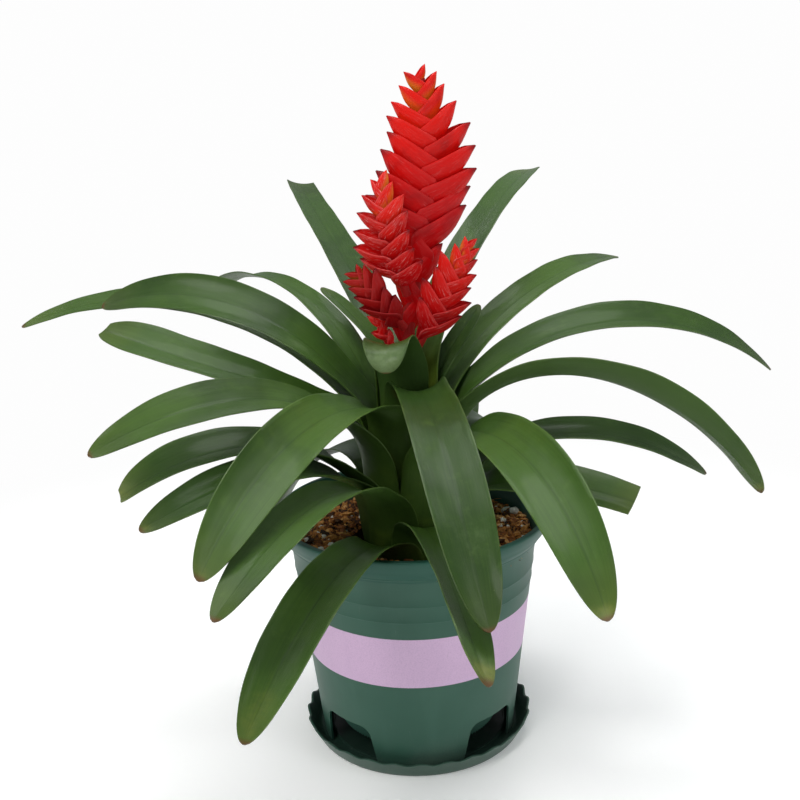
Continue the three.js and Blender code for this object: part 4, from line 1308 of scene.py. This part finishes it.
def fibreMesh():  # a curved thread, a unit long
    points, rows, around = [], 7, 4
    for r in range(rows):
        s = r / (rows - 1)
        centre = (s - 0.5, 0.16 * math.sin(3.1 * s), 0.10 * math.sin(3.1 * s) - 0.02)
        for k in range(around):
            angle = 2 * math.pi * k / around
            thick = 0.016 * (1 - 0.5 * s)
            points.append((centre[0], centre[1] + thick * math.cos(angle), centre[2] + thick * math.sin(angle)))
    faces = ringFaces(around, rows) + [(3, 2, 1, 0), (24, 25, 26, 27)]
    points = np.array(points)
    return makeMesh("fibre", points / mm, turnOutward(points, faces))


def strewAll():
    tree = strewTree()
    near, far = soil["strewnEdges"]
    ground = (soil["holeRadius"] - near, wallRadius(soil["top"]) - pot["wall"] - far)
    shapes = {"chips": lumpMesh("chip", (1.0, 0.55, 0.3), 0.35, 4, 5, 3),
              "crumbs": lumpMesh("crumb", (1.0, 0.8, 0.7), 0.3, 3, 5, 5),
              "fibres": fibreMesh(),
              "grains": lumpMesh("grain", (1.0, 0.9, 0.8), 0.25, 5, 7, 8)}
    for kind, shapeMesh in shapes.items():
        shape = makePiece(kind + "Shape", shapeMesh)
        part = soil[kind]
        mesh = growMesh(strewnGround(*ground), tree, {
            "Shape": shape, "Density": float(part["density"]), "Apart": part["apart"], "Seed": part["seed"],
            "Least": part["size"][0], "Most": part["size"][1], "Tilt": part["tilt"], "Lift": part["lift"],
            "Material": materials[part["finish"]]})
        bpy.data.objects.remove(shape)
        settle(makePiece("soil" + kind.title(), mesh), "bark_soil")
        print("soil", kind, "faces:", len(mesh.polygons))
    grains = []
    for number, (angle, distance, size) in enumerate(soil["largeGrains"]):
        mesh = lumpMesh("largeGrain", (1.0, 0.85, 0.75), 0.22, 8, 10, 40 + number)
        x, y = distance * math.cos(math.radians(angle)), distance * math.sin(math.radians(angle))
        z = float(soilHeight(x, y, distance)) + size * 0.45
        mesh.transform(Matrix.Translation((x * mm, y * mm, z * mm)) @ Matrix.Rotation(number * 1.3, 4, "Z")
                       @ Matrix.Scale(size * mm, 4))
        grains.append(mesh)
    settle(makePiece("soilLargeGrains", joinMeshes(grains), materials["perlite"]), "bark_soil")


soilPiece()
strewAll()

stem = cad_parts["stem"]
stem.data.materials.clear()
stem.data.materials.append(materials["stem"])
print("soil and stem made")


# ---- plain studio: white floor that fades into a white surround, and large soft lamps
studio = {
    "floorRadius": 1.5,
    "surround": (0.93, 0.97, 1.0),
    "surroundStrength": 0.42,
    "backdrop": (0.985, 0.985, 0.985),
    # name, place, size, power and colour
    "lamps": [
        ("key", (-0.9, -1.2, 1.7), 0.9, 20, (1.0, 0.985, 0.96)),
        ("fill", (1.5, -1.0, 0.9), 1.0, 5, (0.95, 0.975, 1.0)),
        ("overhead", (0.15, 0.35, 1.9), 1.1, 22, (1.0, 1.0, 1.0)),
    ],
}


def makeSurround():
    world = bpy.data.worlds.new("surround")
    world.use_nodes = True
    world.node_tree.nodes.clear()
    board = Board(world.node_tree)
    seen = board.add("ShaderNodeLightPath", {}, {}, "Is Camera Ray")
    colour = board.mix(seen, studio["surround"], studio["backdrop"])
    strength = seen * (1 - studio["surroundStrength"]) + studio["surroundStrength"]
    glow = board.add("ShaderNodeBackground", {}, {"Color": colour, "Strength": strength})
    board.add("ShaderNodeOutputWorld", {}, {"Surface": glow})
    bpy.context.scene.world = world


def makeStudio():
    edge = studio["floorRadius"] / mm
    points, faces = turnedMesh([(0, -8), (edge, -8), (edge, 0), (0, 0)], 96)
    floor = makePiece("floor", makeMesh("floor", points, faces), materials["floor"])
    for name, place, size, power, colour in studio["lamps"]:
        lamp = bpy.data.lights.new(name, "AREA")
        lamp.shape, lamp.size, lamp.energy, lamp.color = "DISK", size, power, colour
        holder = bpy.data.objects.new(name, lamp)
        holder.location = place
        holder.rotation_euler = (Vector((0, 0, 0.2)) - Vector(place)).to_track_quat("-Z", "Y").to_euler()
        bpy.context.scene.collection.objects.link(holder)
    makeSurround()
    bpy.context.scene.view_settings.view_transform = "Standard"


makeStudio()
